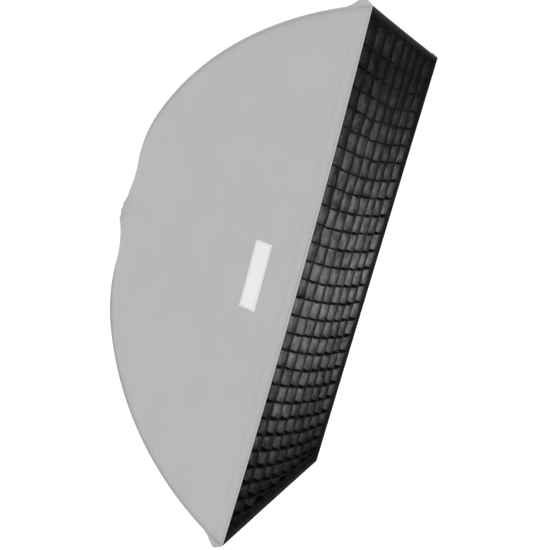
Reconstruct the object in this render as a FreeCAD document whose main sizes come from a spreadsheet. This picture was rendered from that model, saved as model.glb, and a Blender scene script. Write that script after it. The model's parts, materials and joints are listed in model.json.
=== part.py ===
"""Strip softbox: a rod-framed fabric shell on a rotating speedring, with an inner baffle,
a front diffuser and an egg-crate grid.

Frame: the origin is the centre of the seat that the lamp head closes on. +Y points back to
the head, -Y is the way the light goes, +Z runs along the long side, X across the short side.
Millimetres.
"""
import FreeCAD
import Part
import Sketcher
import math
import os
from types import SimpleNamespace

os.makedirs("parts", exist_ok=True)
doc = FreeCAD.newDocument("strip_softbox")
Vector = FreeCAD.Vector
Rotation = FreeCAD.Rotation
Placement = FreeCAD.Placement

# ---------------------------------------------------------------- driving dimensions
DIMENSIONS = [
    ("face_height", 1200.0, "front rim, along Z, corner to corner"),
    ("face_width", 600.0, "front rim, along X, corner to corner"),
    ("start_radius", 50.0, "corner line: distance from the axis where it starts"),
    ("start_depth", 7.8, "corner line: how far in front of the seat it starts"),
    ("start_slope", 2.15, "corner line: degrees from square to the axis at its start"),
    ("back_radius", 490.0, "corner line: radius of its arc by the speedring"),
    ("back_turn", 32.5, "corner line: degrees that the first arc turns"),
    ("front_radius", 900.0, "corner line: radius of its arc towards the rim"),
    ("opening_radius", 79.6, "round opening in the back of the shell"),
    ("cloth", 1.2, "thickness of the outer cloth"),
    ("lining", 0.6, "thickness of the lining"),
    ("layer_gap", 0.4, "air between two layers of cloth"),
    ("edge_gap", 3.2, "from a panel's long edge to the corner line"),
    ("side_sag", 12.0, "how far the middle of a long panel is drawn in"),
    ("end_sag", 5.0, "how far the middle of an end panel is drawn in"),
    ("side_bow", 20.0, "how far the long rim edge is drawn in"),
    ("end_bow", 8.0, "how far the short rim edge is drawn in"),
    ("seam_radius", 2.4, "piped corner seam"),
    ("tab_reach", 17.0, "webbing corner tab, out from the corner line"),
    ("tab_length", 48.0, "webbing corner tab, back from the rim"),
    ("tab_gap", 0.4, "between the tab and the seam"),
    ("tab_front", 1.0, "from the front rim back to the tab's front edge"),
    ("tab_full", 6.0, "from the front rim back to where the tab stands out most"),
    ("tab_fall", 18.0, "from the front rim back to where the tab starts to get low"),
    ("tab_low", 2.0, "how much lower the tab is there, and its height at its tail"),
    ("tab_thickness", 9.0, "webbing corner tab, folded"),
    ("adapter_bore", 44.5, "radius of the light passage"),
    ("barrel_radius", 49.0, "bayonet barrel, outside"),
    ("barrel_length", 10.0, "bayonet barrel, behind the seat"),
    ("lug_radius", 53.5, "bayonet lugs, outside"),
    ("lug_root", 0.5, "how far each lug goes into the barrel"),
    ("lug_depth", 4.0, "bayonet lugs, along the axis"),
    ("lug_width", 22.0, "bayonet lugs, round the barrel"),
    ("flange_radius", 58.0, "seat flange"),
    ("flange_depth", 9.0, "seat flange thickness"),
    ("hub_radius", 55.0, "hub that the speedring turns on"),
    ("hub_play", 0.05, "running clearance round the hub"),
    ("ring_play", 0.2, "end clearance at each face of the speedring"),
    ("ring_radius", 72.0, "speedring, outside"),
    ("ring_depth", 34.0, "speedring thickness"),
    ("boss_radius", 59.5, "lock boss on the speedring, its inner face"),
    ("boss_width", 16.0, "lock boss, round the ring"),
    ("boss_top", 0.8, "lock boss, its top below the seat"),
    ("retainer_radius", 62.0, "retaining ring, outside"),
    ("retainer_depth", 3.0, "retaining ring thickness"),
    ("screw_circle", 49.7, "radius of the circle of retaining screws"),
    ("screw_radius", 2.0, "retaining screw shank"),
    ("screw_head", 3.6, "retaining screw head"),
    ("screw_length", 12.0, "retaining screw, whole"),
    ("screw_hole_over", 1.0, "how far a screw's hole goes past the screw"),
    ("screw_play", 0.05, "clearance round a screw"),
    ("rod_radius", 4.0, "spring steel rod"),
    ("rod_inset", 25.0, "rod centre, inside the corner line"),
    ("rod_stop", 112.0, "from the front rim back to where a rod enters its cap"),
    ("end_gap", 0.2, "air in front of the end of a rod or a cap"),
    ("socket_seat", 62.5, "radius where a rod socket starts in the speedring"),
    ("socket_radius", 8.0, "rod socket, outside"),
    ("socket_length", 38.0, "rod socket, whole"),
    ("socket_floor", 4.0, "metal behind the rod in its socket"),
    ("rod_play", 0.05, "clearance round a rod in its socket and its cap"),
    ("cap_radius", 5.2, "vinyl rod cap"),
    ("cap_bevel", 1.5, "bevel at the cap's closed end"),
    ("cap_length", 26.0, "vinyl rod cap, whole"),
    ("cap_floor", 3.0, "vinyl in front of the rod in its cap"),
    ("pocket_radius", 6.6, "corner pocket, outside"),
    ("pocket_length", 38.0, "corner pocket, whole"),
    ("pocket_floor", 2.0, "webbing in front of the cap in its pocket"),
    ("cuff_radius", 75.4, "cuff in the back of the shell, outside"),
    ("cuff_inside", 72.8, "cuff, inside"),
    ("cuff_start", 9.6, "cuff, from the seat to its back edge"),
    ("cuff_length", 8.0, "cuff, along the axis"),
    ("lip_depth", 76.0, "black lip round the front"),
    ("lip_inset", 2.8, "from the rim line in to the lip"),
    ("lip_cloth", 1.6, "thickness of the lip"),
    ("binding_gap", 1.0, "from the front rim out to the rim binding"),
    ("binding_cloth", 1.4, "thickness of the rim binding"),
    ("binding_proud", 0.4, "how far the rim binding stands past the layers it covers"),
    ("tape", 1.0, "thickness of each hook or loop tape"),
    ("tape_width", 22.0, "width of each hook or loop tape"),
    ("tape_gap", 0.15, "air behind and between the tapes"),
    ("tape_front", 8.0, "from the front rim back to the grid's tapes"),
    ("diffuser_tape_front", 51.0, "from the front rim back to the diffuser's tapes"),
    ("border_cloth", 1.4, "thickness of the grid's border"),
    ("border_front", 3.0, "from the front rim back to the grid's border"),
    ("border_over", 3.0, "how far the border goes past the strips' back edges"),
    ("grid_recess", 4.0, "from the front rim back to the grid's strips"),
    ("grid_depth", 62.0, "depth of the grid's strips"),
    ("grid_cloth", 0.9, "thickness of the grid's strips"),
    ("grid_columns", 8.0, "cells across"),
    ("grid_rows", 28.0, "cells along"),
    ("slot_play", 0.3, "clearance round a strip in its slots"),
    ("strip_gap", 0.4, "from a strip's end to the border"),
    ("diffuser_cloth", 0.8, "thickness of the diffuser"),
    ("hem_over", 0.5, "how much wider the hem is than its tape"),
    ("hem_gap", 0.1, "between the hem and the diffuser"),
    ("baffle_depth", 300.0, "from the front rim back to the baffle"),
    ("baffle_height", 800.0, "inner baffle, along Z"),
    ("baffle_width", 350.0, "inner baffle, along X"),
    ("baffle_cloth", 0.8, "thickness of the baffle"),
    ("strap_width", 18.0, "elastic strap"),
    ("strap_clear", 1.0, "from the baffle's corner to the strap's start"),
    ("strap_cloth", 1.2, "thickness of a strap"),
    ("hook_wire", 1.6, "radius of the wire of a strap's end ring"),
    ("hook_ring", 9.0, "radius of a strap's end ring"),
    ("peg_reach", 19.0, "from a rod's centre in to its anchor's peg"),
    ("peg_radius", 3.0, "anchor peg"),
    ("peg_over", 0.7, "how far the peg's root goes past the arm"),
    ("arm_radius", 2.4, "arm from an anchor's clip to its peg"),
    ("peg_length", 18.0, "anchor peg"),
    ("anchor_behind", 16.0, "from the baffle back to its anchors' clips"),
    ("clip_radius", 6.4, "anchor clip round a rod"),
    ("clip_play", 0.35, "between the clip and the rod"),
    ("clip_length", 16.0, "anchor clip, along the rod"),
    ("lock_screw_radius", 2.0, "lock screw"),
    ("lock_axis", 5.0, "lock screw axis, in front of the seat"),
    ("lock_screw_start", 58.2, "radius where the lock screw's point rests"),
    ("knob_start", 80.5, "radius where the lock knob starts"),
    ("knob_radius", 8.0, "lock knob"),
    ("knob_bevel", 1.5, "bevel at both ends of the knob"),
    ("flute_out", 0.6, "from the knob's side out to the flutes' axes"),
    ("knob_length", 14.0, "lock knob"),
    ("knob_hold", 8.0, "screw inside the knob"),
    ("flute_radius", 1.6, "flutes round the knob"),
    ("label_back", 104.0, "from the front rim back to the blank label's middle"),
    ("label_rise", 10.0, "blank label's middle, above the axis"),
    ("label_height", 150.0, "blank label, along Z"),
    ("label_width", 42.0, "blank label, across"),
    ("label_cloth", 0.7, "thickness of the label"),
    ("label_gap", 0.15, "between the label and the shell"),
]
sheet = doc.addObject("Spreadsheet::Sheet", "Dims")
for row, (alias, value, note) in enumerate(DIMENSIONS, start=1):
    sheet.set(f"A{row}", alias)
    sheet.set(f"B{row}", str(value))
    sheet.set(f"C{row}", note)
    sheet.setAlias(f"B{row}", alias)
doc.recompute()


class Length:
    """A length that knows its value in millimetres and its expression on the sheet."""

    def __init__(self, value, text):
        self.value = value
        self.text = text

    def __float__(self):
        return self.value

    def joined(self, sign, other, value):
        other_text = other.text if isinstance(other, Length) else str(other)
        return Length(value, f"({self.text} {sign} {other_text})")

    def __add__(self, other):
        return self.joined("+", other, self.value + float(other))

    def __sub__(self, other):
        return self.joined("-", other, self.value - float(other))

    def __mul__(self, other):
        return self.joined("*", other, self.value * float(other))

    def __truediv__(self, other):
        return self.joined("/", other, self.value / float(other))


VALUES = {alias: float(sheet.get(alias)) for alias, value, note in DIMENSIONS}
mm = SimpleNamespace(**VALUES)
size = SimpleNamespace(**{alias: Length(value, f"Dims.{alias}") for alias, value in VALUES.items()})
ZERO = 0.0
subparts = []


def keep(thing, label, placement=None):
    """Give a sub-part its label and its place, and list it for writing."""
    thing.Label = label
    if placement is not None:
        thing.Placement = placement
    subparts.append(thing)
    return thing


def shape_part(label, shape, placement=None):
    """A sub-part whose shape is made with Part's own functions."""
    thing = doc.addObject("Part::Feature", f"{label}_shape")
    thing.Shape = shape
    return keep(thing, label, placement)


# ---------------------------------------------------------------- bodies and sketches
def new_body(name):
    return doc.addObject("PartDesign::Body", f"{name}_body")


def new_sketch(body, plane):
    """A sketch on one of the body's own origin planes."""
    sketch = body.newObject("Sketcher::SketchObject", f"{body.Name}_sketch")
    support = [part for part in body.Origin.OriginFeatures if part.Role == plane]
    sketch.AttachmentSupport = [(support[0], "")]
    sketch.MapMode = "FlatFace"
    return sketch


def name_and_bind(sketch, number, name, length):
    """Name a constraint and bind it to the sheet, if it is not a plain number."""
    sketch.renameConstraint(number, name)
    if isinstance(length, Length):
        sketch.setExpression(f"Constraints.{name}", length.text)


def place_point(sketch, geometry, corner, x, y):
    """Hold a point at a bound distance from the origin, or on an axis where it is zero."""
    for axis, length, zero_line in (("X", x, -2), ("Y", y, -1)):
        if float(length) == ZERO:
            sketch.addConstraint(
                Sketcher.Constraint("PointOnObject", geometry, corner, zero_line))
            continue
        number = sketch.addConstraint(
            Sketcher.Constraint(f"Distance{axis}", -1, 1, geometry, corner, float(length)))
        name_and_bind(sketch, number, f"{axis.lower()}_{geometry}_{corner}", length)


def polygon(body, plane, corners):
    """A closed outline through the corners, each a pair of lengths from the origin."""
    sketch = new_sketch(body, plane)
    points = [Vector(float(x), float(y), 0) for x, y in corners]
    for start, end in zip(points, points[1:] + points[:1]):
        sketch.addGeometry(Part.LineSegment(start, end), False)
    for number in range(len(points)):
        following = (number + 1) % len(points)
        sketch.addConstraint(Sketcher.Constraint("Coincident", number, 2, following, 1))
    for number, (x, y) in enumerate(corners):
        place_point(sketch, number, 1, x, y)
    return sketch


def circle(body, plane, radius, x=ZERO, y=ZERO):
    """One circle with a bound radius and centre."""
    sketch = new_sketch(body, plane)
    middle = Vector(float(x), float(y), 0)
    sketch.addGeometry(Part.Circle(middle, Vector(0, 0, 1), float(radius)), False)
    place_point(sketch, 0, 3, x, y)
    number = sketch.addConstraint(Sketcher.Constraint("Radius", 0, float(radius)))
    name_and_bind(sketch, number, "radius", radius)
    return sketch


def feature(body, kind, sketch, **settings):
    """Add a sketch-based feature; a Length setting is bound to the sheet."""
    made = body.newObject(f"PartDesign::{kind}", f"{body.Name}_{kind}")
    made.Profile = sketch
    for name, value in settings.items():
        if isinstance(value, Length):
            setattr(made, name, value.value)
            made.setExpression(name, value.text)
        else:
            setattr(made, name, value)
    sketch.Visibility = False
    return made


def turned(body, corners):
    """A solid turned about the body's Y axis from an outline in its XY plane."""
    sketch = polygon(body, "XY_Plane", corners)
    return feature(body, "Revolution", sketch, ReferenceAxis=(sketch, ["V_Axis"]), Angle=360.0)


def turned_part(label, corners, placement=None):
    """A whole sub-part that is one turned solid."""
    body = new_body(label)
    turned(body, corners)
    return keep(body, label, placement)


def repeat_round(body, original, count):
    """Repeat a feature evenly round the body's Y axis."""
    pattern = body.newObject("PartDesign::PolarPattern", f"{body.Name}_pattern")
    pattern.Originals = [original]
    pattern.Axis = (body_axis(body, "Y_Axis"), [""])
    pattern.Angle = 360.0
    pattern.Occurrences = count
    body.Tip = pattern
    return pattern


def body_axis(body, role):
    return [part for part in body.Origin.OriginFeatures if part.Role == role][0]


# ---------------------------------------------------------------- the corner line
# The shell's cross-section is a rectangle whose corners lie on one curve, the same at all
# four corners: two tangent arcs in the plane through the axis and the corner. A place on it
# is named by its slope, the angle between the curve and a plane square to the axis.
DIAGONAL = math.hypot(mm.face_width, mm.face_height) / 2
ACROSS = mm.face_width / 2 / DIAGONAL
ALONG = mm.face_height / 2 / DIAGONAL
START_SLOPE = math.radians(mm.start_slope)
JOIN_SLOPE = math.radians(mm.start_slope + mm.back_turn)
BACK_CENTRE = (mm.start_radius - mm.back_radius * math.sin(START_SLOPE),
               -mm.start_depth - mm.back_radius * math.cos(START_SLOPE))
CENTRE_STEP = mm.back_radius - mm.front_radius
FRONT_CENTRE = (BACK_CENTRE[0] + CENTRE_STEP * math.sin(JOIN_SLOPE),
                BACK_CENTRE[1] + CENTRE_STEP * math.cos(JOIN_SLOPE))
CORNERS = {"upper_left": (-1, 1), "upper_right": (1, 1),
           "lower_left": (-1, -1), "lower_right": (1, -1)}


def corner_line(slope, inset=0.0):
    """(distance from the axis, Y) on the corner line, or a distance inside it."""
    if slope <= JOIN_SLOPE:
        centre, radius = BACK_CENTRE, mm.back_radius - inset
    else:
        centre, radius = FRONT_CENTRE, mm.front_radius - inset
    return centre[0] + radius * math.sin(slope), centre[1] + radius * math.cos(slope)


def slope_at(place, value, inset=0.0):
    """The slope where the line's radius (place 0) or Y (place 1) has a value."""
    low, high = 0.0, math.pi / 2
    rising = place == 0
    for halving in range(60):
        middle = (low + high) / 2
        if (corner_line(middle, inset)[place] < value) == rising:
            low = middle
        else:
            high = middle
    return middle


RIM_SLOPE = slope_at(0, DIAGONAL)
RIM_Y = corner_line(RIM_SLOPE)[1]
OPEN_SLOPE = slope_at(0, mm.opening_radius)


def outward(corner):
    """Unit vector from the axis to a corner."""
    side, end = CORNERS[corner]
    return Vector(side * ACROSS, 0, end * ALONG)


def corner_point(corner, slope, inset=0.0):
    radius, y = corner_line(slope, inset)
    return outward(corner) * radius + Vector(0, y, 0)


def line_direction(corner, slope):
    """Unit vector along the line, towards the rim."""
    return outward(corner) * math.cos(slope) - Vector(0, math.sin(slope), 0)


def along_line(corner, slope, inset=0.0, back=0.0):
    """A placement at or straight back from a point of the line, its Y axis along the line."""
    direction = line_direction(corner, slope)
    base = corner_point(corner, slope, inset) - direction * back
    return Placement(base, Rotation(Vector(0, 1, 0), direction))


def line_wire(corner, first, last, inset=0.0, lead=0.0, tail=0.0):
    """The line's two arcs between two slopes, as a wire, with straight ends if asked for."""
    edges = []
    for low, high in ((first, JOIN_SLOPE), (JOIN_SLOPE, last)):
        ends = [corner_point(corner, slope, inset) for slope in (low, (low + high) / 2, high)]
        edges.append(Part.Arc(*ends).toShape())
    if lead:
        start = corner_point(corner, first, inset)
        before = start - line_direction(corner, first) * lead
        edges.insert(0, Part.LineSegment(before, start).toShape())
    if tail:
        end = corner_point(corner, last, inset)
        after = end + line_direction(corner, last) * tail
        edges.append(Part.LineSegment(end, after).toShape())
    return Part.Wire(edges)


def round_bar(wire, radius):
    """A round bar that follows a wire."""
    start = wire.Edges[0].valueAt(wire.Edges[0].FirstParameter)
    direction = wire.Edges[0].tangentAt(wire.Edges[0].FirstParameter)
    section = Part.Wire([Part.Circle(start, direction, radius).toShape()])
    return wire.makePipeShell([section], True, True)


# ---------------------------------------------------------------- the cloth surfaces
SIDE = {"out": ACROSS, "wide": ALONG, "sag": mm.side_sag, "bow": mm.side_bow}
END = {"out": ALONG, "wide": ACROSS, "sag": mm.end_sag, "bow": mm.end_bow}
PANELS = {"left": (SIDE, -1), "right": (SIDE, 1), "top": (END, 1), "bottom": (END, -1)}
BLEND_POWER = 12
ROWS_ALONG = 15
ROWS_ACROSS = 9


def drawn_in(kind, slope):
    """How far tension draws the middle of a panel in, at a slope."""
    way = (slope - OPEN_SLOPE) / (RIM_SLOPE - OPEN_SLOPE)
    return kind["sag"] * math.sin(math.pi * way) ** 2 + kind["bow"] * max(way, 0.0) ** 3


def section_point(kind, slope, across):
    """(out from the axis, sideways, Y) on a panel; across runs from -1 to 1."""
    radius, y = corner_line(slope)
    flat = kind["out"] * radius
    # beside the speedring the section swells to the round opening
    swollen = (flat ** BLEND_POWER + mm.opening_radius ** BLEND_POWER) ** (1 / BLEND_POWER)
    half_angle = math.acos(kind["out"])
    arch = (math.cos(across * half_angle) - kind["out"]) / (1 - kind["out"])
    roundness = min(1.0, (swollen - flat) / (mm.opening_radius * (1 - kind["out"])))
    out = flat + (swollen - flat) * arch - drawn_in(kind, slope) * (1 - across ** 2)
    arc_share = math.sin(across * half_angle) / math.sin(half_angle)
    sideways = kind["wide"] * radius * ((1 - roundness) * across + roundness * arc_share)
    return out, sideways, y


def panel_point(panel, slope, across):
    kind, sign = PANELS[panel]
    out, sideways, y = section_point(kind, slope, across)
    if kind is SIDE:
        return Vector(sign * out, y, sideways)
    return Vector(sideways, y, sign * out)


def cloth_point(panel, slope, across, depth):
    """A point a distance inside a panel's outer face."""
    step = 1e-4
    point = panel_point(panel, slope, across)
    down = panel_point(panel, slope + step, across) - panel_point(panel, slope - step, across)
    over = panel_point(panel, slope, across + step) - panel_point(panel, slope, across - step)
    normal = down.cross(over)
    normal.normalize()
    kind, sign = PANELS[panel]
    outside = Vector(sign, 0, 0) if kind is SIDE else Vector(0, 0, sign)
    # near the opening the panel faces back, towards +Y
    if normal.dot(outside + Vector(0, 1, 0)) < 0:
        normal = normal * -1
    return point - normal * depth


def cloth_face(panel, slopes, across, depth):
    """A smooth face through a grid of points; across is a pair of shares of the width."""
    kind, sign = PANELS[panel]
    grid = []
    for row in range(ROWS_ALONG):
        slope = slopes[0] + (slopes[1] - slopes[0]) * row / (ROWS_ALONG - 1)
        # the corner line crosses the panel at a slant, so the gap is wider measured sideways
        slant = math.hypot(math.sin(slope), kind["out"] * math.cos(slope))
        limit = 1 - mm.edge_gap / (kind["wide"] * corner_line(slope)[0] * slant)
        shares = [across[0] + (across[1] - across[0]) * step / (ROWS_ACROSS - 1)
                  for step in range(ROWS_ACROSS)]
        grid.append([cloth_point(panel, slope, share * limit, depth) for share in shares])
    surface = Part.BSplineSurface()
    surface.interpolate(grid)
    return surface


def cloth_solid(panel, slopes, across, outer, inner):
    """A sheet of cloth between two depths inside the panel's outer face."""
    faces = [cloth_face(panel, slopes, across, depth) for depth in (outer, inner)]
    sides = []
    for edge in range(4):
        rims = []
        for face in faces:
            low_u, high_u, low_v, high_v = face.bounds()
            curve = [face.uIso(low_u), face.uIso(high_u), face.vIso(low_v), face.vIso(high_v)][edge]
            rims.append(curve.toShape())
        sides.append(Part.makeRuledSurface(rims[0], rims[1]))
    shell = Part.makeShell([face.toShape() for face in faces] + sides)
    shell.sewShape()
    solid = Part.makeSolid(shell)
    if solid.Volume < 0:
        solid.reverse()
    return solid


def rim_half(kind, depth, share=1.0):
    """Half of the front outline at a depth behind the rim, and a share of the way to a corner.
    The stretch that the lip covers is straight from front to back."""
    halves = []
    for slope in (RIM_SLOPE, slope_at(1, RIM_Y + mm.lip_depth)):
        corner_half = kind["out"] * corner_line(slope)[0]
        halves.append(corner_half - drawn_in(kind, slope) * (1 - share ** 2))
    return halves[0] + (halves[1] - halves[0]) * depth / mm.lip_depth


def rim_wire(depth, inset):
    """The shell's outline at a depth behind the rim, drawn in by an inset: four arcs."""
    y = RIM_Y + depth
    half_x = rim_half(SIDE, depth) - inset
    half_z = rim_half(END, depth) - inset
    mid_x = rim_half(SIDE, depth, 0) - inset
    mid_z = rim_half(END, depth, 0) - inset
    corners = [Vector(x, y, z) for x, z in ((-half_x, half_z), (half_x, half_z),
                                            (half_x, -half_z), (-half_x, -half_z))]
    middles = [Vector(0, y, mid_z), Vector(mid_x, y, 0), Vector(0, y, -mid_z), Vector(-mid_x, y, 0)]
    arcs = [Part.Arc(corners[side], middles[side], corners[(side + 1) % 4]).toShape()
            for side in range(4)]
    return Part.Wire(arcs)


def rim_block(front, back, inset):
    """The solid inside the outline between two depths behind the rim."""
    return Part.makeLoft([rim_wire(front, inset), rim_wire(back, inset)], True, True)


def rim_band(front, back, inset, thickness):
    """A band of cloth that follows the outline."""
    return rim_block(front, back, inset).cut(rim_block(front, back, inset + thickness))


# ---------------------------------------------------------------- speedring
# Turned bodies have their own Y axis along the part's axis, towards the light, so that
# their outlines stay at zero or above; FACING turns them that way.
FACING = Rotation(Vector(1, 0, 0), 180)


def facing(y):
    return Placement(Vector(0, y, 0), FACING)


def screw_places():
    """Centres of the three retaining screws, as (X, Z)."""
    angles = [math.radians(90 + 120 * number) for number in range(3)]
    return [(mm.screw_circle * math.cos(angle), mm.screw_circle * math.sin(angle))
            for angle in angles]


HUB_LENGTH = size.ring_depth + size.ring_play * 2
HUB_END = size.barrel_length + size.flange_depth + HUB_LENGTH
RETAINER_BACK_Y = -(mm.flange_depth + float(HUB_LENGTH))


def round_hole(label, radius, length, placement):
    """A cylinder that a cut uses as its tool."""
    tool = doc.addObject("Part::Cylinder", label)
    tool.setExpression("Radius", radius.text)
    tool.setExpression("Height", length.text)
    tool.Placement = placement
    return tool


def cut_part(label, base, tools, placement=None):
    """A sub-part that is a base with tools cut out of it."""
    together = doc.addObject("Part::MultiFuse", f"{label}_tools")
    together.Shapes = tools
    cut = doc.addObject("Part::Cut", f"{label}_cut")
    cut.Base = base
    cut.Tool = together
    return keep(cut, label, placement)


def retaining_screw_holes(name, y_high, length):
    turn = Rotation(Vector(1, 0, 0), 90)
    return [round_hole(f"{name}_hole_{number}", size.screw_radius + size.screw_play, length,
                       Placement(Vector(x, y_high, z), turn))
            for number, (x, z) in enumerate(screw_places())]


def make_head_adapter():
    """Bayonet barrel with three lugs, seat flange and the hub that the speedring turns on."""
    body = new_body("head_adapter")
    barrel_end = size.barrel_length
    flange_end = size.barrel_length + size.flange_depth
    turned(body, [(size.adapter_bore, ZERO), (size.barrel_radius, ZERO),
                  (size.barrel_radius, barrel_end), (size.flange_radius, barrel_end),
                  (size.flange_radius, flange_end), (size.hub_radius, flange_end),
                  (size.hub_radius, HUB_END), (size.adapter_bore, HUB_END)])
    doc.recompute()
    # each lug is a short turned arc, centred on the body's XY plane
    lug_angle = mm.lug_width / mm.lug_radius * 180 / math.pi
    inside = size.barrel_radius - size.lug_root
    sketch = polygon(body, "XY_Plane", [(inside, ZERO), (size.lug_radius, ZERO),
                                        (size.lug_radius, size.lug_depth),
                                        (inside, size.lug_depth)])
    lug = feature(body, "Revolution", sketch, ReferenceAxis=(sketch, ["V_Axis"]),
                  Angle=lug_angle, Midplane=True)
    repeat_round(body, lug, 3)
    body.Placement = facing(mm.barrel_length)
    depth = mm.screw_length - mm.retainer_depth + mm.screw_hole_over
    holes = retaining_screw_holes("adapter", RETAINER_BACK_Y + depth, size.screw_length)
    return cut_part("head_adapter", body, holes)


def make_retaining_ring():
    body = new_body("retaining_ring")
    turned(body, [(size.adapter_bore, ZERO), (size.retainer_radius, ZERO),
                  (size.retainer_radius, size.retainer_depth),
                  (size.adapter_bore, size.retainer_depth)])
    body.Placement = facing(RETAINER_BACK_Y)
    holes = retaining_screw_holes("retainer", RETAINER_BACK_Y + mm.screw_hole_over,
                                  size.screw_length)
    return cut_part("retaining_ring", body, holes)


def make_retaining_screws():
    """Three pan-head screws, their heads on the front of the retaining ring."""
    body = new_body("retaining_screw")
    head = size.screw_length / 6
    turned(body, [(ZERO, ZERO), (size.screw_head, ZERO), (size.screw_head, head),
                  (size.screw_radius, head), (size.screw_radius, size.screw_length),
                  (ZERO, size.screw_length)])
    doc.recompute()
    front = RETAINER_BACK_Y - mm.retainer_depth - float(head)
    screws = []
    for x, z in screw_places():
        screw = body.Shape.copy()
        screw.Placement = Placement(Vector(x, front, z), Rotation())
        screws.append(screw)
    return shape_part("retaining_screws", Part.makeCompound(screws))


# a rod leaves its socket here, and is straight behind this
MOUTH_SLOPE = slope_at(0, mm.socket_seat + mm.socket_length, mm.rod_inset)


def socket_place(corner):
    return along_line(corner, MOUTH_SLOPE, mm.rod_inset, mm.socket_length)


def make_speedring():
    """Cast ring with a blind seat for each rod socket and a boss for the lock screw."""
    body = new_body("speedring")
    bore = size.hub_radius + size.hub_play
    turned(body, [(bore, ZERO), (size.ring_radius, ZERO),
                  (size.ring_radius, size.ring_depth), (bore, size.ring_depth)])
    body.Placement = facing(-mm.flange_depth - mm.ring_play)
    boss = doc.addObject("Part::Box", "lock_boss")
    boss.setExpression("Length", (size.ring_radius - size.boss_radius).text)
    boss.setExpression("Width", (size.flange_depth + size.ring_play * 2 + 4).text)
    boss.setExpression("Height", size.boss_width.text)
    boss_depth = mm.flange_depth + 2 * mm.ring_play + 4
    boss.Placement = Placement(
        Vector(mm.boss_radius, -mm.boss_top - boss_depth, -mm.boss_width / 2), Rotation())
    solid = doc.addObject("Part::MultiFuse", "speedring_solid")
    solid.Shapes = [body, boss]
    turn = Rotation(Vector(1, 0, 0), -90)
    tools = []
    for corner in CORNERS:
        place = socket_place(corner)
        hole_place = Placement(place.Base, place.Rotation.multiply(turn))
        tools.append(round_hole(f"seat_{corner}", size.socket_radius, size.socket_length,
                                hole_place))
    along_x = Rotation(Vector(0, 1, 0), 90)
    tools.append(round_hole("lock_hole", size.lock_screw_radius + size.screw_play,
                            size.ring_radius, Placement(Vector(mm.hub_radius, -mm.lock_axis, 0),
                                                        along_x)))
    return cut_part("speedring", solid, tools)


def make_socket(corner):
    bore = size.rod_radius + size.rod_play
    turned_part(f"rod_socket_{corner}",
                [(ZERO, ZERO), (size.socket_radius, ZERO),
                 (size.socket_radius, size.socket_length), (bore, size.socket_length),
                 (bore, size.socket_floor), (ZERO, size.socket_floor)], socket_place(corner))


def make_lock():
    """Thumb screw in the speedring's boss: its point rests on the seat flange's edge."""
    outside = Rotation(Vector(0, 0, 1), -90)
    length = size.knob_start - size.lock_screw_start + size.knob_hold
    turned_part("lock_screw", [(ZERO, ZERO), (size.lock_screw_radius, ZERO),
                               (size.lock_screw_radius, length), (ZERO, length)],
                Placement(Vector(mm.lock_screw_start, -mm.lock_axis, 0), outside))
    body = new_body("lock_knob")
    bore = size.lock_screw_radius
    turned(body, [(bore, ZERO), (size.knob_radius * 0.7, ZERO), (size.knob_radius, size.knob_bevel),
                  (size.knob_radius, size.knob_length - size.knob_bevel),
                  (size.knob_radius - size.knob_bevel, size.knob_length),
                  (ZERO, size.knob_length),
                  (ZERO, size.knob_hold), (bore, size.knob_hold)])
    doc.recompute()
    sketch = circle(body, "XZ_Plane", size.flute_radius, size.knob_radius + size.flute_out)
    flute = feature(body, "Pocket", sketch, Type=1, Midplane=True)
    repeat_round(body, flute, 10)
    keep(body, "lock_knob", Placement(Vector(mm.knob_start, -mm.lock_axis, 0), outside))


# ---------------------------------------------------------------- rods
def make_rod(corner):
    """Spring steel rod, bent by the shell, with a vinyl cap in a webbing pocket."""
    last = slope_at(1, RIM_Y + mm.rod_stop, mm.rod_inset)
    hold = size.cap_length - size.cap_floor
    in_socket = mm.socket_length - mm.socket_floor - mm.end_gap
    in_cap = float(hold) - mm.end_gap
    wire = line_wire(corner, MOUTH_SLOPE, last, mm.rod_inset, in_socket, in_cap)
    shape_part(f"rod_{corner}", round_bar(wire, mm.rod_radius))
    bore = size.rod_radius + size.rod_play
    turned_part(f"rod_cap_{corner}",
                [(bore, ZERO), (size.cap_radius, ZERO), (size.cap_radius, hold),
                 (size.cap_radius - size.cap_bevel, size.cap_length), (ZERO, size.cap_length),
                 (ZERO, hold), (bore, hold)],
                along_line(corner, last, mm.rod_inset))
    inside = size.cap_radius + size.rod_play * 2
    floor = size.pocket_length - size.pocket_floor
    back = mm.pocket_length - mm.pocket_floor - mm.cap_length - mm.end_gap
    turned_part(f"corner_pocket_{corner}",
                [(inside, ZERO), (size.pocket_radius, ZERO),
                 (size.pocket_radius, size.pocket_length), (ZERO, size.pocket_length),
                 (ZERO, floor), (inside, floor)],
                along_line(corner, last, mm.rod_inset, back))


# ---------------------------------------------------------------- shell
def make_panel(panel):
    whole = (OPEN_SLOPE, RIM_SLOPE)
    lining_outer = mm.cloth + mm.layer_gap
    shape_part(f"shell_panel_{panel}", cloth_solid(panel, whole, (-1, 1), 0, mm.cloth))
    shape_part(f"lining_{panel}",
               cloth_solid(panel, whole, (-1, 1), lining_outer, lining_outer + mm.lining))


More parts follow.
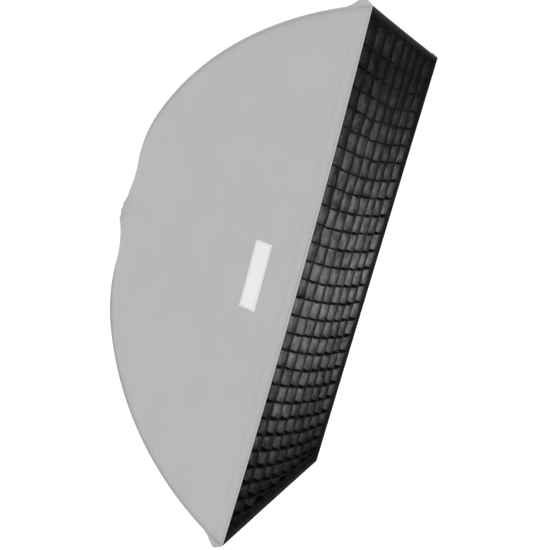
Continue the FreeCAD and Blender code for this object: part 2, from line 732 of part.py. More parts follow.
def make_corner(corner):
    """Piped seam along the corner, and the webbing tab at its front end."""
    seam_start = slope_at(0, mm.opening_radius + 2 * mm.seam_radius)
    wire = line_wire(corner, seam_start, RIM_SLOPE)
    shape_part(f"corner_seam_{corner}", round_bar(wire, mm.seam_radius))
    clear = mm.seam_radius + mm.tab_gap
    tail = slope_at(1, RIM_Y + mm.tab_length)
    sides = [(slope_at(1, RIM_Y + back), out) for back, out in
             ((mm.tab_front, clear), (mm.tab_full, mm.tab_reach),
              (mm.tab_fall, mm.tab_reach - mm.tab_low), (mm.tab_length, clear + mm.tab_low),
              (mm.tab_length, clear), (mm.tab_length / 2, clear))]
    points = [corner_point(corner, slope, -out) for slope, out in sides]
    face = Part.Face(Part.makePolygon(points + points[:1]))
    sideways = outward(corner).cross(Vector(0, 1, 0)) * mm.tab_thickness
    face.translate(sideways * -0.5)
    shape_part(f"corner_tab_{corner}", face.extrude(sideways))


def make_rear_cuff():
    turned_part("rear_cuff", [(size.cuff_inside, ZERO), (size.cuff_radius, ZERO),
                              (size.cuff_radius, size.cuff_length),
                              (size.cuff_inside, size.cuff_length)], facing(-mm.cuff_start))


def make_lip():
    """Black lip inside the rim, with the loop tapes that the grid and the diffuser hold to."""
    inner = mm.lip_inset + mm.lip_cloth + mm.tape_gap
    shape_part("front_lip", rim_band(0, mm.lip_depth, mm.lip_inset, mm.lip_cloth))
    for name, front in (("lip_tape_grid", mm.tape_front),
                        ("lip_tape_diffuser", mm.diffuser_tape_front)):
        shape_part(name, rim_band(front, front + mm.tape_width, inner, mm.tape))


def make_rim_binding():
    """Binding folded over the front edges of the shell, the lining and the lip."""
    outside = -mm.binding_proud
    width = mm.lip_inset + mm.lip_cloth + 2 * mm.binding_proud
    shape_part("rim_binding", rim_band(-mm.binding_gap - mm.binding_cloth, -mm.binding_gap,
                                       outside, width))


def make_label():
    """Blank label sewn on the left panel."""
    centre_y = RIM_Y + mm.label_back
    half_height = mm.label_height / 2
    slopes = (slope_at(1, centre_y + mm.label_width / 2), slope_at(1, centre_y - mm.label_width / 2))
    width = ALONG * corner_line(slopes[0])[0]
    across = ((mm.label_rise - half_height) / width, (mm.label_rise + half_height) / width)
    outside = -mm.label_gap - mm.label_cloth
    shape_part("blank_label", cloth_solid("left", slopes, across, outside, -mm.label_gap))


# ---------------------------------------------------------------- baffle
BAFFLE_Y = RIM_Y + mm.baffle_depth


def peg_point(corner):
    """Centre of the peg that holds a strap's ring, beside the rod."""
    slope = slope_at(1, BAFFLE_Y, mm.rod_inset)
    return corner_point(corner, slope, mm.rod_inset) - outward(corner) * mm.peg_reach


def make_baffle():
    cloth = doc.addObject("Part::Box", "baffle_box")
    cloth.setExpression("Length", size.baffle_width.text)
    cloth.setExpression("Width", size.baffle_cloth.text)
    cloth.setExpression("Height", size.baffle_height.text)
    keep(cloth, "baffle_cloth", Placement(Vector(-mm.baffle_width / 2, BAFFLE_Y - mm.baffle_cloth / 2,
                                                 -mm.baffle_height / 2), Rotation()))
    straps, rings, anchors = [], [], []
    first_anchor = make_anchor("upper_right")
    for corner, (side, end) in CORNERS.items():
        peg = peg_point(corner)
        start = Vector(side * mm.baffle_width / 2, BAFFLE_Y, end * mm.baffle_height / 2)
        direction = (peg - start).normalize()
        length = (peg - start).Length - mm.hook_ring - mm.hook_wire - mm.end_gap
        # the strap starts where its sides are clear of the baffle's corner
        clear = mm.strap_width / 2 + mm.strap_clear
        strap = Part.makeBox(length - clear, mm.strap_cloth, mm.strap_width,
                             Vector(clear, -mm.strap_cloth / 2, -mm.strap_width / 2))
        angle = math.degrees(math.atan2(-direction.z, direction.x))
        strap.Placement = Placement(start, Rotation(Vector(0, 1, 0), angle))
        straps.append(strap)
        rings.append(Part.makeTorus(mm.hook_ring, mm.hook_wire, peg, Vector(0, 1, 0)))
        anchor = first_anchor
        if side < 0:
            anchor = anchor.mirror(Vector(0, 0, 0), Vector(1, 0, 0))
        if end < 0:
            anchor = anchor.mirror(Vector(0, 0, 0), Vector(0, 0, 1))
        anchors.append(anchor)
    shape_part("baffle_straps", Part.makeCompound(straps))
    shape_part("baffle_rings", Part.makeCompound(rings))
    shape_part("baffle_anchors", Part.makeCompound(anchors))


def make_anchor(corner):
    """Clip round a rod behind the baffle, with a peg that points forward through a ring."""
    peg = peg_point(corner)
    slope = slope_at(1, BAFFLE_Y + mm.anchor_behind, mm.rod_inset)
    place = along_line(corner, slope, mm.rod_inset, mm.clip_length / 2)
    along = place.Rotation.multVec(Vector(0, 1, 0))
    clip = Part.makeCylinder(mm.clip_radius, mm.clip_length, place.Base, along)
    hole = Part.makeCylinder(mm.rod_radius + mm.clip_play, mm.clip_length + 2,
                             place.Base - along, along)
    centre = place.Base + along * (mm.clip_length / 2)
    arm_end = Vector(peg.x, centre.y, peg.z)
    reach = arm_end - centre
    arm = Part.makeCylinder(mm.arm_radius, reach.Length, centre, reach)
    post_length = mm.anchor_behind + mm.peg_length / 2 + mm.peg_radius
    post = Part.makeCylinder(mm.peg_radius, post_length,
                             arm_end + Vector(0, mm.peg_radius + mm.peg_over, 0), Vector(0, -1, 0))
    return clip.fuse([arm, post]).cut(hole)


# ---------------------------------------------------------------- diffuser and grid
HEM_INSET = mm.lip_inset + mm.lip_cloth + mm.tape + 2 * mm.tape_gap
BORDER_INSET = HEM_INSET + mm.tape + mm.tape_gap


def make_diffuser():
    """Front diffuser behind the grid; its hem holds to the lip's second tape."""
    front = mm.diffuser_tape_front
    back = front + mm.tape_width + mm.hem_over
    shape_part("diffuser_hem", rim_band(front, back, HEM_INSET, mm.tape))
    face = back + mm.hem_gap
    shape_part("front_diffuser", rim_block(face, face + mm.diffuser_cloth, HEM_INSET))


def strip_ends(position, long_way):
    """Half-lengths of a grid strip at its front and back edges."""
    kind, other = (END, SIDE) if long_way else (SIDE, END)
    inset = BORDER_INSET + mm.border_cloth + mm.strip_gap
    return [rim_half(kind, depth, position / rim_half(other, depth)) - inset
            for depth in (mm.grid_recess, mm.grid_recess + mm.grid_depth)]


def grid_places(count, width):
    """Positions of the strips between a number of cells."""
    pitch = width / count
    return [(number - count / 2) * pitch for number in range(1, int(count))]


def make_strip(position, long_way, crossings):
    """One strip, slotted half way through where the others cross it."""
    front, back = strip_ends(position, long_way)
    y_front = RIM_Y + mm.grid_recess
    y_back = y_front + mm.grid_depth
    half = mm.grid_cloth / 2
    corners = [(-front, y_front), (front, y_front), (back, y_back), (-back, y_back)]
    slot = mm.grid_cloth + mm.slot_play
    middle = y_front + mm.grid_depth / 2
    low = y_front - 1 if long_way else middle - mm.slot_play / 2
    tools = []
    if long_way:
        points = [Vector(position - half, y, z) for z, y in corners]
        push = Vector(mm.grid_cloth, 0, 0)
        tools = [Part.makeBox(slot * 2, mm.grid_depth / 2 + 1 + mm.slot_play / 2, slot,
                              Vector(position - slot, low, z - slot / 2)) for z in crossings]
    else:
        points = [Vector(x, y, position - half) for x, y in corners]
        push = Vector(0, 0, mm.grid_cloth)
        tools = [Part.makeBox(slot, mm.grid_depth / 2 + 1 + mm.slot_play / 2, slot * 2,
                              Vector(x - slot / 2, low, position - slot)) for x in crossings]
    strip = Part.Face(Part.makePolygon(points + points[:1])).extrude(push)
    return strip.cut(tools)


def make_grid():
    """Egg-crate grid: a border that holds to the lip's first tape, and slotted strips."""
    back = mm.grid_recess + mm.grid_depth + mm.border_over
    shape_part("grid_border", rim_band(mm.border_front, back, BORDER_INSET, mm.border_cloth))
    shape_part("grid_tape", rim_band(mm.tape_front, mm.tape_front + mm.tape_width,
                                     HEM_INSET, mm.tape))
    inner = 2 * (BORDER_INSET + mm.border_cloth)
    across = grid_places(mm.grid_columns, mm.face_width - inner)
    along = grid_places(mm.grid_rows, mm.face_height - inner)
    shape_part("grid_long_strips",
               Part.makeCompound([make_strip(x, True, along) for x in across]))
    shape_part("grid_cross_strips",
               Part.makeCompound([make_strip(z, False, across) for z in along]))


# ---------------------------------------------------------------- build, check and write
make_head_adapter()
make_retaining_ring()
make_retaining_screws()
make_speedring()
make_lock()
for corner in CORNERS:
    make_socket(corner)
    make_rod(corner)
    make_corner(corner)
for panel in PANELS:
    make_panel(panel)
make_rear_cuff()
make_lip()
make_rim_binding()
make_label()
make_baffle()
make_diffuser()
make_grid()
doc.recompute()

for thing in doc.Objects:
    if "Invalid" in thing.State or "Error" in thing.State:
        raise RuntimeError(f"{thing.Label} did not compute: {thing.State}")
for thing in subparts:
    if thing.Shape.isNull() or not thing.Shape.isValid():
        raise RuntimeError(f"{thing.Label} has no valid shape")
for thing in subparts:
    thing.Shape.exportStep(f"parts/{thing.Label}.step")
    box = thing.Shape.BoundBox
    print(f"{thing.Label:28s} solids {len(thing.Shape.Solids):3d} volume {thing.Shape.Volume:12.1f} "
          f"x {box.XMin:7.1f} {box.XMax:7.1f} y {box.YMin:7.1f} {box.YMax:7.1f} "
          f"z {box.ZMin:7.1f} {box.ZMax:7.1f}")
print(f"rim at Y {RIM_Y:.1f}, {len(subparts)} nodes")
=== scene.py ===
import json
import math

import bpy
import numpy as np
from mathutils import Matrix, Vector


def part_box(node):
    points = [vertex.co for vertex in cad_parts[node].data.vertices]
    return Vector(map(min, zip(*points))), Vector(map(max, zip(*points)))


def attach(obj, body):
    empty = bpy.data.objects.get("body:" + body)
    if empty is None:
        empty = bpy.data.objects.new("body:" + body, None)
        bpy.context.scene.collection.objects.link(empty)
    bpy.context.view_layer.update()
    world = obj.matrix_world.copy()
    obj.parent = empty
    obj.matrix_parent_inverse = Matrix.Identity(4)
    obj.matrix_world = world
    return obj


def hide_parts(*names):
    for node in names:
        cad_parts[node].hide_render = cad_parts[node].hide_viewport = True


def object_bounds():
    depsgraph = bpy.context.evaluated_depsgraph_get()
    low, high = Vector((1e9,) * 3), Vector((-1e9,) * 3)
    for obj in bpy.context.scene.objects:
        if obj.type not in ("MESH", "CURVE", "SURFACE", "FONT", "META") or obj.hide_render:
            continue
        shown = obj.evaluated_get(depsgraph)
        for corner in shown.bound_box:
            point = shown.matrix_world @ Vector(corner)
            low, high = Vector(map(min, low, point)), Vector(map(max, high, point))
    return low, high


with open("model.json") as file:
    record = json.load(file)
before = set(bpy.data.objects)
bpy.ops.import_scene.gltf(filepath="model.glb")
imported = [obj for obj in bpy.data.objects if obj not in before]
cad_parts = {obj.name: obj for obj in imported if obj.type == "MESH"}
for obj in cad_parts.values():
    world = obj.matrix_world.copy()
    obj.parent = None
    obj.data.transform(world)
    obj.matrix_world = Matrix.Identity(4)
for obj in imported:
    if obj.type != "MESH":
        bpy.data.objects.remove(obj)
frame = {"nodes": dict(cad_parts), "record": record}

# Strip softbox. The hard parts and the piped seams are the frame's own nodes with better
# materials. The other cloth parts are new meshes that follow the same corner lines.
cad_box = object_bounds()
scene = bpy.context.scene
node = frame["nodes"]
RIM_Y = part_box("front_lip")[0].y

CORNERS = {"upper_left": (-1, 1), "upper_right": (1, 1),
           "lower_left": (-1, -1), "lower_right": (1, -1)}


# ---- materials
class Finish:
    """A Principled material, and short ways to add nodes to it."""

    def __init__(self, name, roughness=0.6, metallic=0.0, sheen=0.0, coat=0.0, specular=0.5):
        self.material = bpy.data.materials.new(name)
        self.material.use_nodes = True
        self.tree = self.material.node_tree
        self.shader = self.tree.nodes["Principled BSDF"]
        for socket, value in (("Roughness", roughness), ("Metallic", metallic),
                              ("Sheen Weight", sheen), ("Sheen Roughness", 0.4),
                              ("Coat Weight", coat), ("Specular IOR Level", specular)):
            self.shader.inputs[socket].default_value = value
        self.last_bump = None

    def link(self, value, socket):
        if isinstance(value, bpy.types.NodeSocket):
            self.tree.links.new(value, socket)
        else:
            socket.default_value = value

    def math(self, operation, first, second=0.0):
        step = self.tree.nodes.new("ShaderNodeMath")
        step.operation = operation
        self.link(first, step.inputs[0])
        self.link(second, step.inputs[1])
        return step.outputs[0]

    def spread(self, value, low, high, first=0.0, last=1.0):
        """value between first and last becomes low to high."""
        step = self.tree.nodes.new("ShaderNodeMapRange")
        for socket, number in zip(step.inputs[:5], (value, first, last, low, high)):
            self.link(number, socket)
        return step.outputs[0]

    def place(self, stretch=(1, 1, 1)):
        """The point's own position on the piece, in metres."""
        where = self.tree.nodes.new("ShaderNodeTexCoord").outputs["Object"]
        scale = self.tree.nodes.new("ShaderNodeVectorMath")
        scale.operation = "MULTIPLY"
        self.link(where, scale.inputs[0])
        scale.inputs[1].default_value = stretch
        return scale.outputs[0]

    def noise(self, size, detail=3.0, stretch=(1, 1, 1)):
        """Noise from 0 to 1 whose lumps are about size metres across."""
        cloud = self.tree.nodes.new("ShaderNodeTexNoise")
        cloud.inputs["Scale"].default_value = 1 / size
        cloud.inputs["Detail"].default_value = detail
        self.link(self.place(stretch), cloud.inputs["Vector"])
        return cloud.outputs["Fac"]

    def split(self, vector):
        parts = self.tree.nodes.new("ShaderNodeSeparateXYZ")
        self.link(vector, parts.inputs[0])
        return tuple(parts.outputs)

    def axes(self):
        """The point's X, Y and Z on the piece, in metres."""
        return self.split(self.place())

    def facing(self):
        """X, Y and Z of the direction that the piece's surface faces."""
        return self.split(self.tree.nodes.new("ShaderNodeTexCoord").outputs["Normal"])

    def threads(self):
        """The two directions of the cloth, in metres."""
        where = self.tree.nodes.new("ShaderNodeUVMap")
        where.uv_map = "cloth"
        return self.split(where.outputs[0])[:2]

    def wave(self, value, pitch):
        """A wave from -1 to 1 that repeats every pitch metres."""
        return self.math("SINE", self.math("MULTIPLY", value, 2 * math.pi / pitch))

    def colour(self, dark, light, share):
        """A mix of two colours, or of two sockets: dark at 0, light at 1."""
        blend = self.tree.nodes.new("ShaderNodeMix")
        blend.data_type = "RGBA"
        for value, socket in ((share, "Factor"), (dark, "A"), (light, "B")):
            self.link((*value, 1) if isinstance(value, tuple) else value, blend.inputs[socket])
        return blend.outputs["Result"]

    def base(self, value):
        self.link(value, self.shader.inputs["Base Color"])

    def rough(self, value):
        self.link(value, self.shader.inputs["Roughness"])

    def bump(self, height, depth, strength=1.0):
        """Relief of a depth in metres, on top of what is there already."""
        step = self.tree.nodes.new("ShaderNodeBump")
        step.inputs["Strength"].default_value = strength
        step.inputs["Distance"].default_value = depth
        self.link(height, step.inputs["Height"])
        if self.last_bump:
            self.link(self.last_bump, step.inputs["Normal"])
        self.last_bump = step.outputs[0]
        self.link(self.last_bump, self.shader.inputs["Normal"])


def shade(level, factor, tint=(1, 1, 1)):
    return tuple(level * factor * part for part in tint)


FOLD_GREY = 0.40


def painted_grid_light(cloth):
    """Light and shade painted on the grid's cloth, from its place on the piece and the way it
    faces.
    """
    x, y, z = cloth.axes()
    face_x = cloth.facing()[0]
    from_middle = cloth.math("ABSOLUTE", cloth.math("ADD", z, 0.03))
    # painted light: dark at the strips' front edges, paler deeper in the cells
    share = cloth.spread(y, 0.06, 1, RIM_Y + 0.006, RIM_Y + 0.022)
    # painted light: palest a little below half way up, with painted shade towards both ends
    half_way_up = cloth.spread(from_middle, 1, 0.17, 0.05, 0.50)
    short_of_ends = cloth.spread(from_middle, 1, 0.6, 0.51, 0.55)
    # painted light: paler on the left, darker on the right
    towards_left = cloth.spread(x, 1.25, 0.75, -0.15, 0.28)
    # painted shade on the first strip by the left border
    past_first_strip = cloth.spread(x, 0.72, 1, -0.19, -0.155)
    # painted shade on faces that don't face sideways: the strips' front edges and the end borders
    off_end_borders = cloth.spread(cloth.math("ABSOLUTE", face_x), 0.05, 1, 0.3, 0.7)
    # painted shade on faces turned to the right, except on the right border
    inside_right_border = cloth.math("MAXIMUM", cloth.spread(face_x, 1, 0.05, -0.2, 0.2),
                                     cloth.spread(x, 1, 0, 0.25, 0.27))
    # painted shade on the left border
    off_left_border = cloth.spread(x, 0.05, 1, -0.245, -0.232)
    streaks = cloth.spread(cloth.noise(0.009, 3, (1, 1, 0.35)), 0.55, 1.45, 0.35, 0.65)
    blotches = cloth.spread(cloth.noise(0.018), 0.7, 1.3)
    for factor in (half_way_up, short_of_ends, towards_left, past_first_strip, off_end_borders,
                   inside_right_border, off_left_border, streaks, blotches):
        share = cloth.math("MULTIPLY", share, factor)
    return share


def woven(name, level, pitch=0.0009, depth=0.0002, ripstop=0.0, twill=False, tint=(1, 1, 1),
          spots=0.06, roughness=0.72, sheen=0.0, metallic=0.0, crinkle=0.0, specular=0.5,
          unwrapped=False, painted_light=False, folded=0.0):
    """Woven cloth: threads over and under, uneven dye, a little wear, and ripstop lines if any.

    unwrapped cloth takes its threads from the piece's own axes. With painted light the cloth is
    almost black but where light and shade are painted on it. folded cloth is shell grey for that
    many metres, then turns in.
    """
    cloth = Finish(name, roughness, metallic, sheen, specular=specular)
    if unwrapped:
        x, along, z = cloth.axes()
        across = cloth.math("ADD", x, z)
    else:
        across, along = cloth.threads()
    if twill:
        slanted = cloth.math("ADD", across, cloth.math("MULTIPLY", along, 0.55))
        weave = cloth.math("MULTIPLY", cloth.wave(slanted, pitch * 2.2),
                           cloth.math("ABSOLUTE", cloth.wave(across, pitch * 2)))
    else:
        weave = cloth.math("MULTIPLY", cloth.wave(across, pitch), cloth.wave(along, pitch))
    cloth.bump(cloth.spread(weave, 0, 1, -1, 1), depth, 0.6)
    uneven = cloth.noise(0.11, 4)
    fine = cloth.noise(0.004, 2)
    mixed = cloth.math("ADD", cloth.math("MULTIPLY", uneven, 0.7),
                       cloth.math("MULTIPLY", fine, 0.3))
    share = cloth.spread(mixed, 0, 1, 0.3, 0.7)
    colour = cloth.colour(shade(level, 1 - spots, tint), shade(level, 1 + spots, tint), share)
    # painted shade in the weave: the raised threads lighter, the hollows between them darker
    thread = cloth.spread(weave, 0, 0.35, -1, 1)
    colour = cloth.colour(colour, shade(level, 1.25, tint), cloth.math("MULTIPLY", thread, 0.3))
    if ripstop:
        lines = cloth.math("MAXIMUM", cloth.wave(across, ripstop), cloth.wave(along, ripstop))
        line = cloth.spread(lines, 0, 1, 0.93, 1.0)
        colour = cloth.colour(colour, shade(level, 1.16, tint), cloth.math("MULTIPLY", line, 0.35))
        cloth.bump(line, depth * 0.6, 0.5)
    if crinkle:
        cloth.bump(cloth.noise(0.012, 5), crinkle, 0.8)
        cloth.bump(cloth.noise(0.05, 2), crinkle * 2.5, 0.6)
    # the grid's cloth: near black, with light and shade painted on it by place
    if painted_light:
        colour = cloth.colour(shade(level, 0.012, tint), colour, painted_grid_light(cloth))
    if folded:
        turned = cloth.spread(along, 0, 1, folded - 0.0004, folded + 0.0004)
        colour = cloth.colour(shade(FOLD_GREY, 1), colour, turned)
    cloth.base(colour)
    cloth.rough(cloth.spread(cloth.noise(0.03), roughness - 0.09, roughness + 0.09))
    return cloth.material


def napped(name, level, size):
    """The furry or hooked face of a hook and loop tape, or a felted edge."""
    tape = Finish(name, 0.85, sheen=0.1, specular=0.2)
    pile = tape.noise(size, 5)
    rows = tape.wave(tape.threads()[0], size * 2.4)
    # painted shade in the pile: lighter where it stands high, darker in its hollows
    tape.base(tape.colour(shade(level, 0.7), shade(level, 1.7),
                          tape.spread(pile, 0, 1, 0.35, 0.7)))
    tape.bump(pile, size * 0.8, 0.9)
    tape.bump(rows, size * 0.3, 0.5)
    tape.rough(tape.spread(tape.noise(size * 6), 0.78, 0.92))
    return tape.material


def ribbed(name, level, pitch):
    """Elastic: ribs across the strap and fine cords along it."""
    strap = Finish(name, 0.7, sheen=0.1, specular=0.3)
    across, along = strap.threads()
    ribs = strap.wave(along, pitch)
    cords = strap.wave(across, pitch * 1.3)
    relief = strap.math("ADD", ribs, strap.math("MULTIPLY", cords, 0.6))
    # painted shade: lighter on the ribs and cords, darker in the grooves between them
    strap.base(strap.colour(shade(level, 0.7), shade(level, 1.5),
                            strap.spread(relief, 0, 1, -1.6, 1.6)))
    strap.bump(relief, pitch * 0.2, 0.7)
    strap.rough(strap.spread(strap.noise(0.01), 0.62, 0.8))
    return strap.material


HARD_FINISH = {}  # by the frame's name for the slot


def metal(name, low, high, grain, stretch, roughness, depth, tint=(1, 1, 1)):
    """Bare or plated metal with a directional grain, faint stains and rubbed patches."""
    bare = Finish(name, roughness, 1.0)
    lines = bare.noise(grain, 4, stretch)
    stains = bare.noise(0.02, 5)
    bare.base(bare.colour(shade(low, 1, tint), shade(high, 1, tint),
                          bare.math("ADD", bare.math("MULTIPLY", lines, 0.5),
                                    bare.math("MULTIPLY", stains, 0.5))))
    bare.rough(bare.spread(bare.math("ADD", lines, stains), roughness - 0.1, roughness + 0.12,
                           0.6, 1.4))
    bare.bump(lines, depth, 0.5)
    HARD_FINISH[name] = bare.material


def coated(name, level, grain, depth, roughness, coat=0.0):
    """Powder coat, moulded plastic or dipped vinyl: pebbled, with dusty and rubbed patches."""
    skin = Finish(name, roughness, coat=coat)
    pebble = skin.noise(grain, 3)
    patches = skin.noise(0.018, 4)
    skin.base(skin.colour(shade(level, 0.8), shade(level, 1.9),
                          skin.spread(patches, 0, 1, 0.42, 0.75)))
    skin.rough(skin.spread(patches, roughness + 0.08, roughness - 0.08, 0.35, 0.65))
    skin.bump(pebble, depth, 0.7)
    HARD_FINISH[name] = skin.material


SHELL = woven("shell_cloth", 0.42, ripstop=0.0052, spots=0.025, roughness=0.78, specular=0.3)
LINING = woven("lining_silver", 0.80, pitch=0.0007, depth=0.0001, roughness=0.36, metallic=0.75,
               spots=0.05, crinkle=0.0006, tint=(0.99, 0.99, 1.02))
PIPING = woven("seam_piping", 0.39, pitch=0.0016, depth=0.0003, roughness=0.8, specular=0.3,
               unwrapped=True)
WEBBING = woven("tab_webbing", 0.39, pitch=0.0022, depth=0.0006, twill=True, spots=0.07,
                specular=0.3)
BLACK = woven("black_cloth", 0.009, pitch=0.001, ripstop=0.0052, spots=0.3, specular=0.12,
              roughness=0.85)
BINDING = woven("binding_cloth", 0.009, pitch=0.001, spots=0.3, specular=0.12, roughness=0.85,
                folded=0.0046)
LABEL = woven("label_cloth", 0.72, pitch=0.0008, depth=0.00012, spots=0.02, roughness=0.6)
WHITE = woven("diffuser_cloth", 0.84, pitch=0.0008, ripstop=0.0065, spots=0.02, roughness=0.8)
# the grid's cloth is near black; 0.49 is the tone that the painted light brings it up to
GRID = woven("grid_cloth", 0.49, pitch=0.0011, depth=0.0003, spots=0.2, specular=0.06,
             roughness=0.8, crinkle=0.0008, painted_light=True)
HEMMED = woven("hemmed_grid_cloth", 0.004, pitch=0.0011, depth=0.0003, spots=0.3, specular=0.03,
               roughness=0.85, crinkle=0.0003)
TAPE = napped("tape_black", 0.012, 0.0011)
ELASTIC = ribbed("elastic", 0.03, 0.0021)
THREAD_GREY = woven("thread_grey", 0.42, pitch=0.0008, depth=0.0002, twill=True, specular=0.3)
metal("adapter_metal", 0.45, 0.66, 0.0012, (0.15, 4, 0.15), 0.34, 0.00003)
coated("ring_metal", 0.03, 0.0009, 0.00012, 0.5)
metal("socket_metal", 0.42, 0.68, 0.0009, (1, 0.12, 1), 0.36, 0.00004, (1.0, 0.99, 0.95))
metal("rod_steel", 0.16, 0.34, 0.0008, (1, 0.06, 1), 0.4, 0.00003, (0.98, 0.99, 1.03))
metal("screw_steel", 0.4, 0.66, 0.0006, (1, 1, 1), 0.32, 0.00003, (1.0, 0.98, 0.93))
metal("ring_wire", 0.5, 0.75, 0.0006, (1, 1, 1), 0.2, 0.00002)
coated("cap_vinyl", 0.035, 0.003, 0.00006, 0.38, 0.15)
coated("knob_plastic", 0.028, 0.0006, 0.00008, 0.42)
coated("anchor_plastic", 0.045, 0.0007, 0.00008, 0.46)


def dress(name, finish):
    for place in node[name].material_slots:
        place.material = finish


for subpart in frame["record"]["subparts"]:
    if subpart["material_slot"] in HARD_FINISH:
        dress(subpart["node"], HARD_FINISH[subpart["material_slot"]])


# ---- meshes
LUMPS = 97  # before a cloud repeats
NUDGE = 1e-4


def unit(vectors):
    return vectors / np.linalg.norm(vectors, axis=-1, keepdims=True)


def ease(value):
    """0 up to 0, 1 from 1 on, and smooth between."""
    share = np.clip(value, 0.0, 1.0)
    return share * share * (3 - 2 * share)


def cloud(across, along, seed):
    """Smooth random values from -1 to 1, with one lump per unit each way."""
    across, along = np.broadcast_arrays(across, along)
    table = np.random.RandomState(seed).uniform(-1, 1, (LUMPS, LUMPS))
    first, second = np.floor(across).astype(int), np.floor(along).astype(int)
    one, two = ease(across - first), ease(along - second)
    corner = [[table[(first + a) % LUMPS, (second + b) % LUMPS] for b in (0, 1)]
              for a in (0, 1)]
    low = corner[0][0] * (1 - two) + corner[0][1] * two
    high = corner[1][0] * (1 - two) + corner[1][1] * two
    return low * (1 - one) + high * one


def quads(index):
    return np.stack([index[:-1, :-1], index[:-1, 1:], index[1:, 1:], index[1:, :-1]],
                    axis=-1).reshape(-1, 4)


def run_along(points):
    """How far each point of a line is along it."""
    return np.concatenate([[0], np.cumsum(np.linalg.norm(np.diff(points, axis=0), axis=-1))])


def flat_layout(points, wrap):
    """Each point's place on the cloth before it was bent, in metres."""
    if wrap:
        points = np.concatenate([points, points[:, :1]], axis=1)
    middle = points.shape[1] // 2
    across = np.array([run_along(row) for row in points])
    across -= across[:, middle:middle + 1]
    along = run_along(points[:, middle])[:, None]
    return np.stack(np.broadcast_arrays(across, along), axis=-1)


def slab_mesh(outer, inner, wrap=False):
    """Points, faces and cloth places of the closed sheet between two grids of points."""
    rows, columns = outer.shape[:2]
    count = rows * columns
    index = np.arange(count).reshape(rows, columns)
    spot = np.arange(rows * (columns + wrap)).reshape(rows, columns + wrap)
    if wrap:
        index = np.hstack([index, index[:, :1]])
    faces = [quads(index), quads(index)[:, ::-1] + count]
    spots = [quads(spot), quads(spot)[:, ::-1]]
    rims = [(index[0], spot[0]), (index[-1][::-1], spot[-1][::-1])]
    if not wrap:
        rims += [(index[:, -1], spot[:, -1]), (index[::-1, 0], spot[::-1, 0])]
    for rim, rim_spot in rims:
        faces.append(np.stack([rim[1:], rim[:-1], rim[:-1] + count, rim[1:] + count], axis=-1))
        spots.append(np.stack([rim_spot[1:], rim_spot[:-1], rim_spot[:-1], rim_spot[1:]],
                              axis=-1))
    points = np.concatenate([outer.reshape(-1, 3), inner.reshape(-1, 3)])
    layout = flat_layout(outer, wrap).reshape(-1, 2)[np.concatenate(spots)]
    return points, np.concatenate(faces), layout.reshape(-1, 2)


def join(meshes):
    """Several meshes as one."""
    points, faces, layouts, start = [], [], [], 0
    for some_points, some_faces, layout in meshes:
        points.append(some_points)
        faces.append(some_faces + start)
        layouts.append(layout)
        start += len(some_points)
    return np.concatenate(points), np.concatenate(faces), np.concatenate(layouts)


def piece(name, mesh_parts, material, body, sharp=50):
    """An object from points, faces and cloth places, which rides on a body."""
    points, faces, layout = mesh_parts
    one, two, three, four = points[faces].transpose(1, 0, 2)
    if (one * (np.cross(two, three) + np.cross(three, four))).sum() < 0:  # inside out
        faces = faces[:, ::-1]
        layout = layout.reshape(-1, 4, 2)[:, ::-1].reshape(-1, 2)
    mesh = bpy.data.meshes.new(name)
    mesh.from_pydata(points.tolist(), [], faces.tolist())
    mesh.uv_layers.new(name="cloth").data.foreach_set("uv", layout.ravel())
    mesh.polygons.foreach_set("use_smooth", [True] * len(faces))
    mesh.set_sharp_from_angle(angle=math.radians(sharp))
    mesh.materials.append(material)
    thing = bpy.data.objects.new(name, mesh)
    scene.collection.objects.link(thing)
    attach(thing, body)
    return thing


def ring_mesh(rings):
    """Rings of points joined in a tube, each end closed by a tiny ring at its middle."""
    tiny = 0.02
    near = [rings[end] * tiny + rings[end].mean(axis=0) * (1 - tiny) for end in (0, -1)]
    rings = np.concatenate([near[0][None], rings, near[1][None]])
    count, sides = rings.shape[:2]
    index = np.arange(count * sides).reshape(count, sides)
    layout = flat_layout(rings, True).reshape(-1, 2)
    spot = np.arange(count * (sides + 1)).reshape(count, sides + 1)
    faces, spots = [quads(np.hstack([index, index[:, :1]]))], [quads(spot)]
    for row, order in ((0, 1), (-1, -1)):
        half = sides // 2
        ring, places = index[row][::order], spot[row][:-1][::order]
        for step in range(half - 1):
            picks = [step, sides - 1 - step, sides - 2 - step, step + 1]
            faces.append(ring[picks][None])
            spots.append(places[picks][None])
    layout = layout[np.concatenate(spots)].reshape(-1, 2)
    return rings.reshape(-1, 3), np.concatenate(faces), layout


def turned_mesh(profile, base, axis, sides=40, ripple=0.0, seed=1):
    """A closed outline of (distance along, radius) turned about an axis, a little uneven."""
    profile = np.array(profile)
    axis = unit(np.array(axis))
    side = unit(np.cross(axis, (0.31, 0.2, 0.93)))
    over = np.cross(axis, side)
    angle = np.arange(sides) * 2 * math.pi / sides
    round_about = np.cos(angle)[:, None] * side + np.sin(angle)[:, None] * over
    wobble = 1 + ripple * cloud(angle[None, :] * 3.5, profile[:, :1] * 150, seed)
    wobble = (wobble * profile[:, 1:])[..., None]
    points = np.array(base) + profile[:, :1, None] * axis + wobble * round_about
    count = len(profile)
    index = np.pad(np.arange(count * sides).reshape(count, sides), (0, 1), mode="wrap")
    closed = np.concatenate([points, points[:1]])
    layout = flat_layout(closed, True).reshape(-1, 2)
    spot = np.arange((count + 1) * (sides + 1)).reshape(count + 1, sides + 1)
    return points.reshape(-1, 3), quads(index), layout[quads(spot)].reshape(-1, 2)


def between(values, run, places):
    """The values, which are known at the distances in run, at these places."""
    return np.stack([np.interp(places, run, column) for column in np.transpose(values)], axis=1)


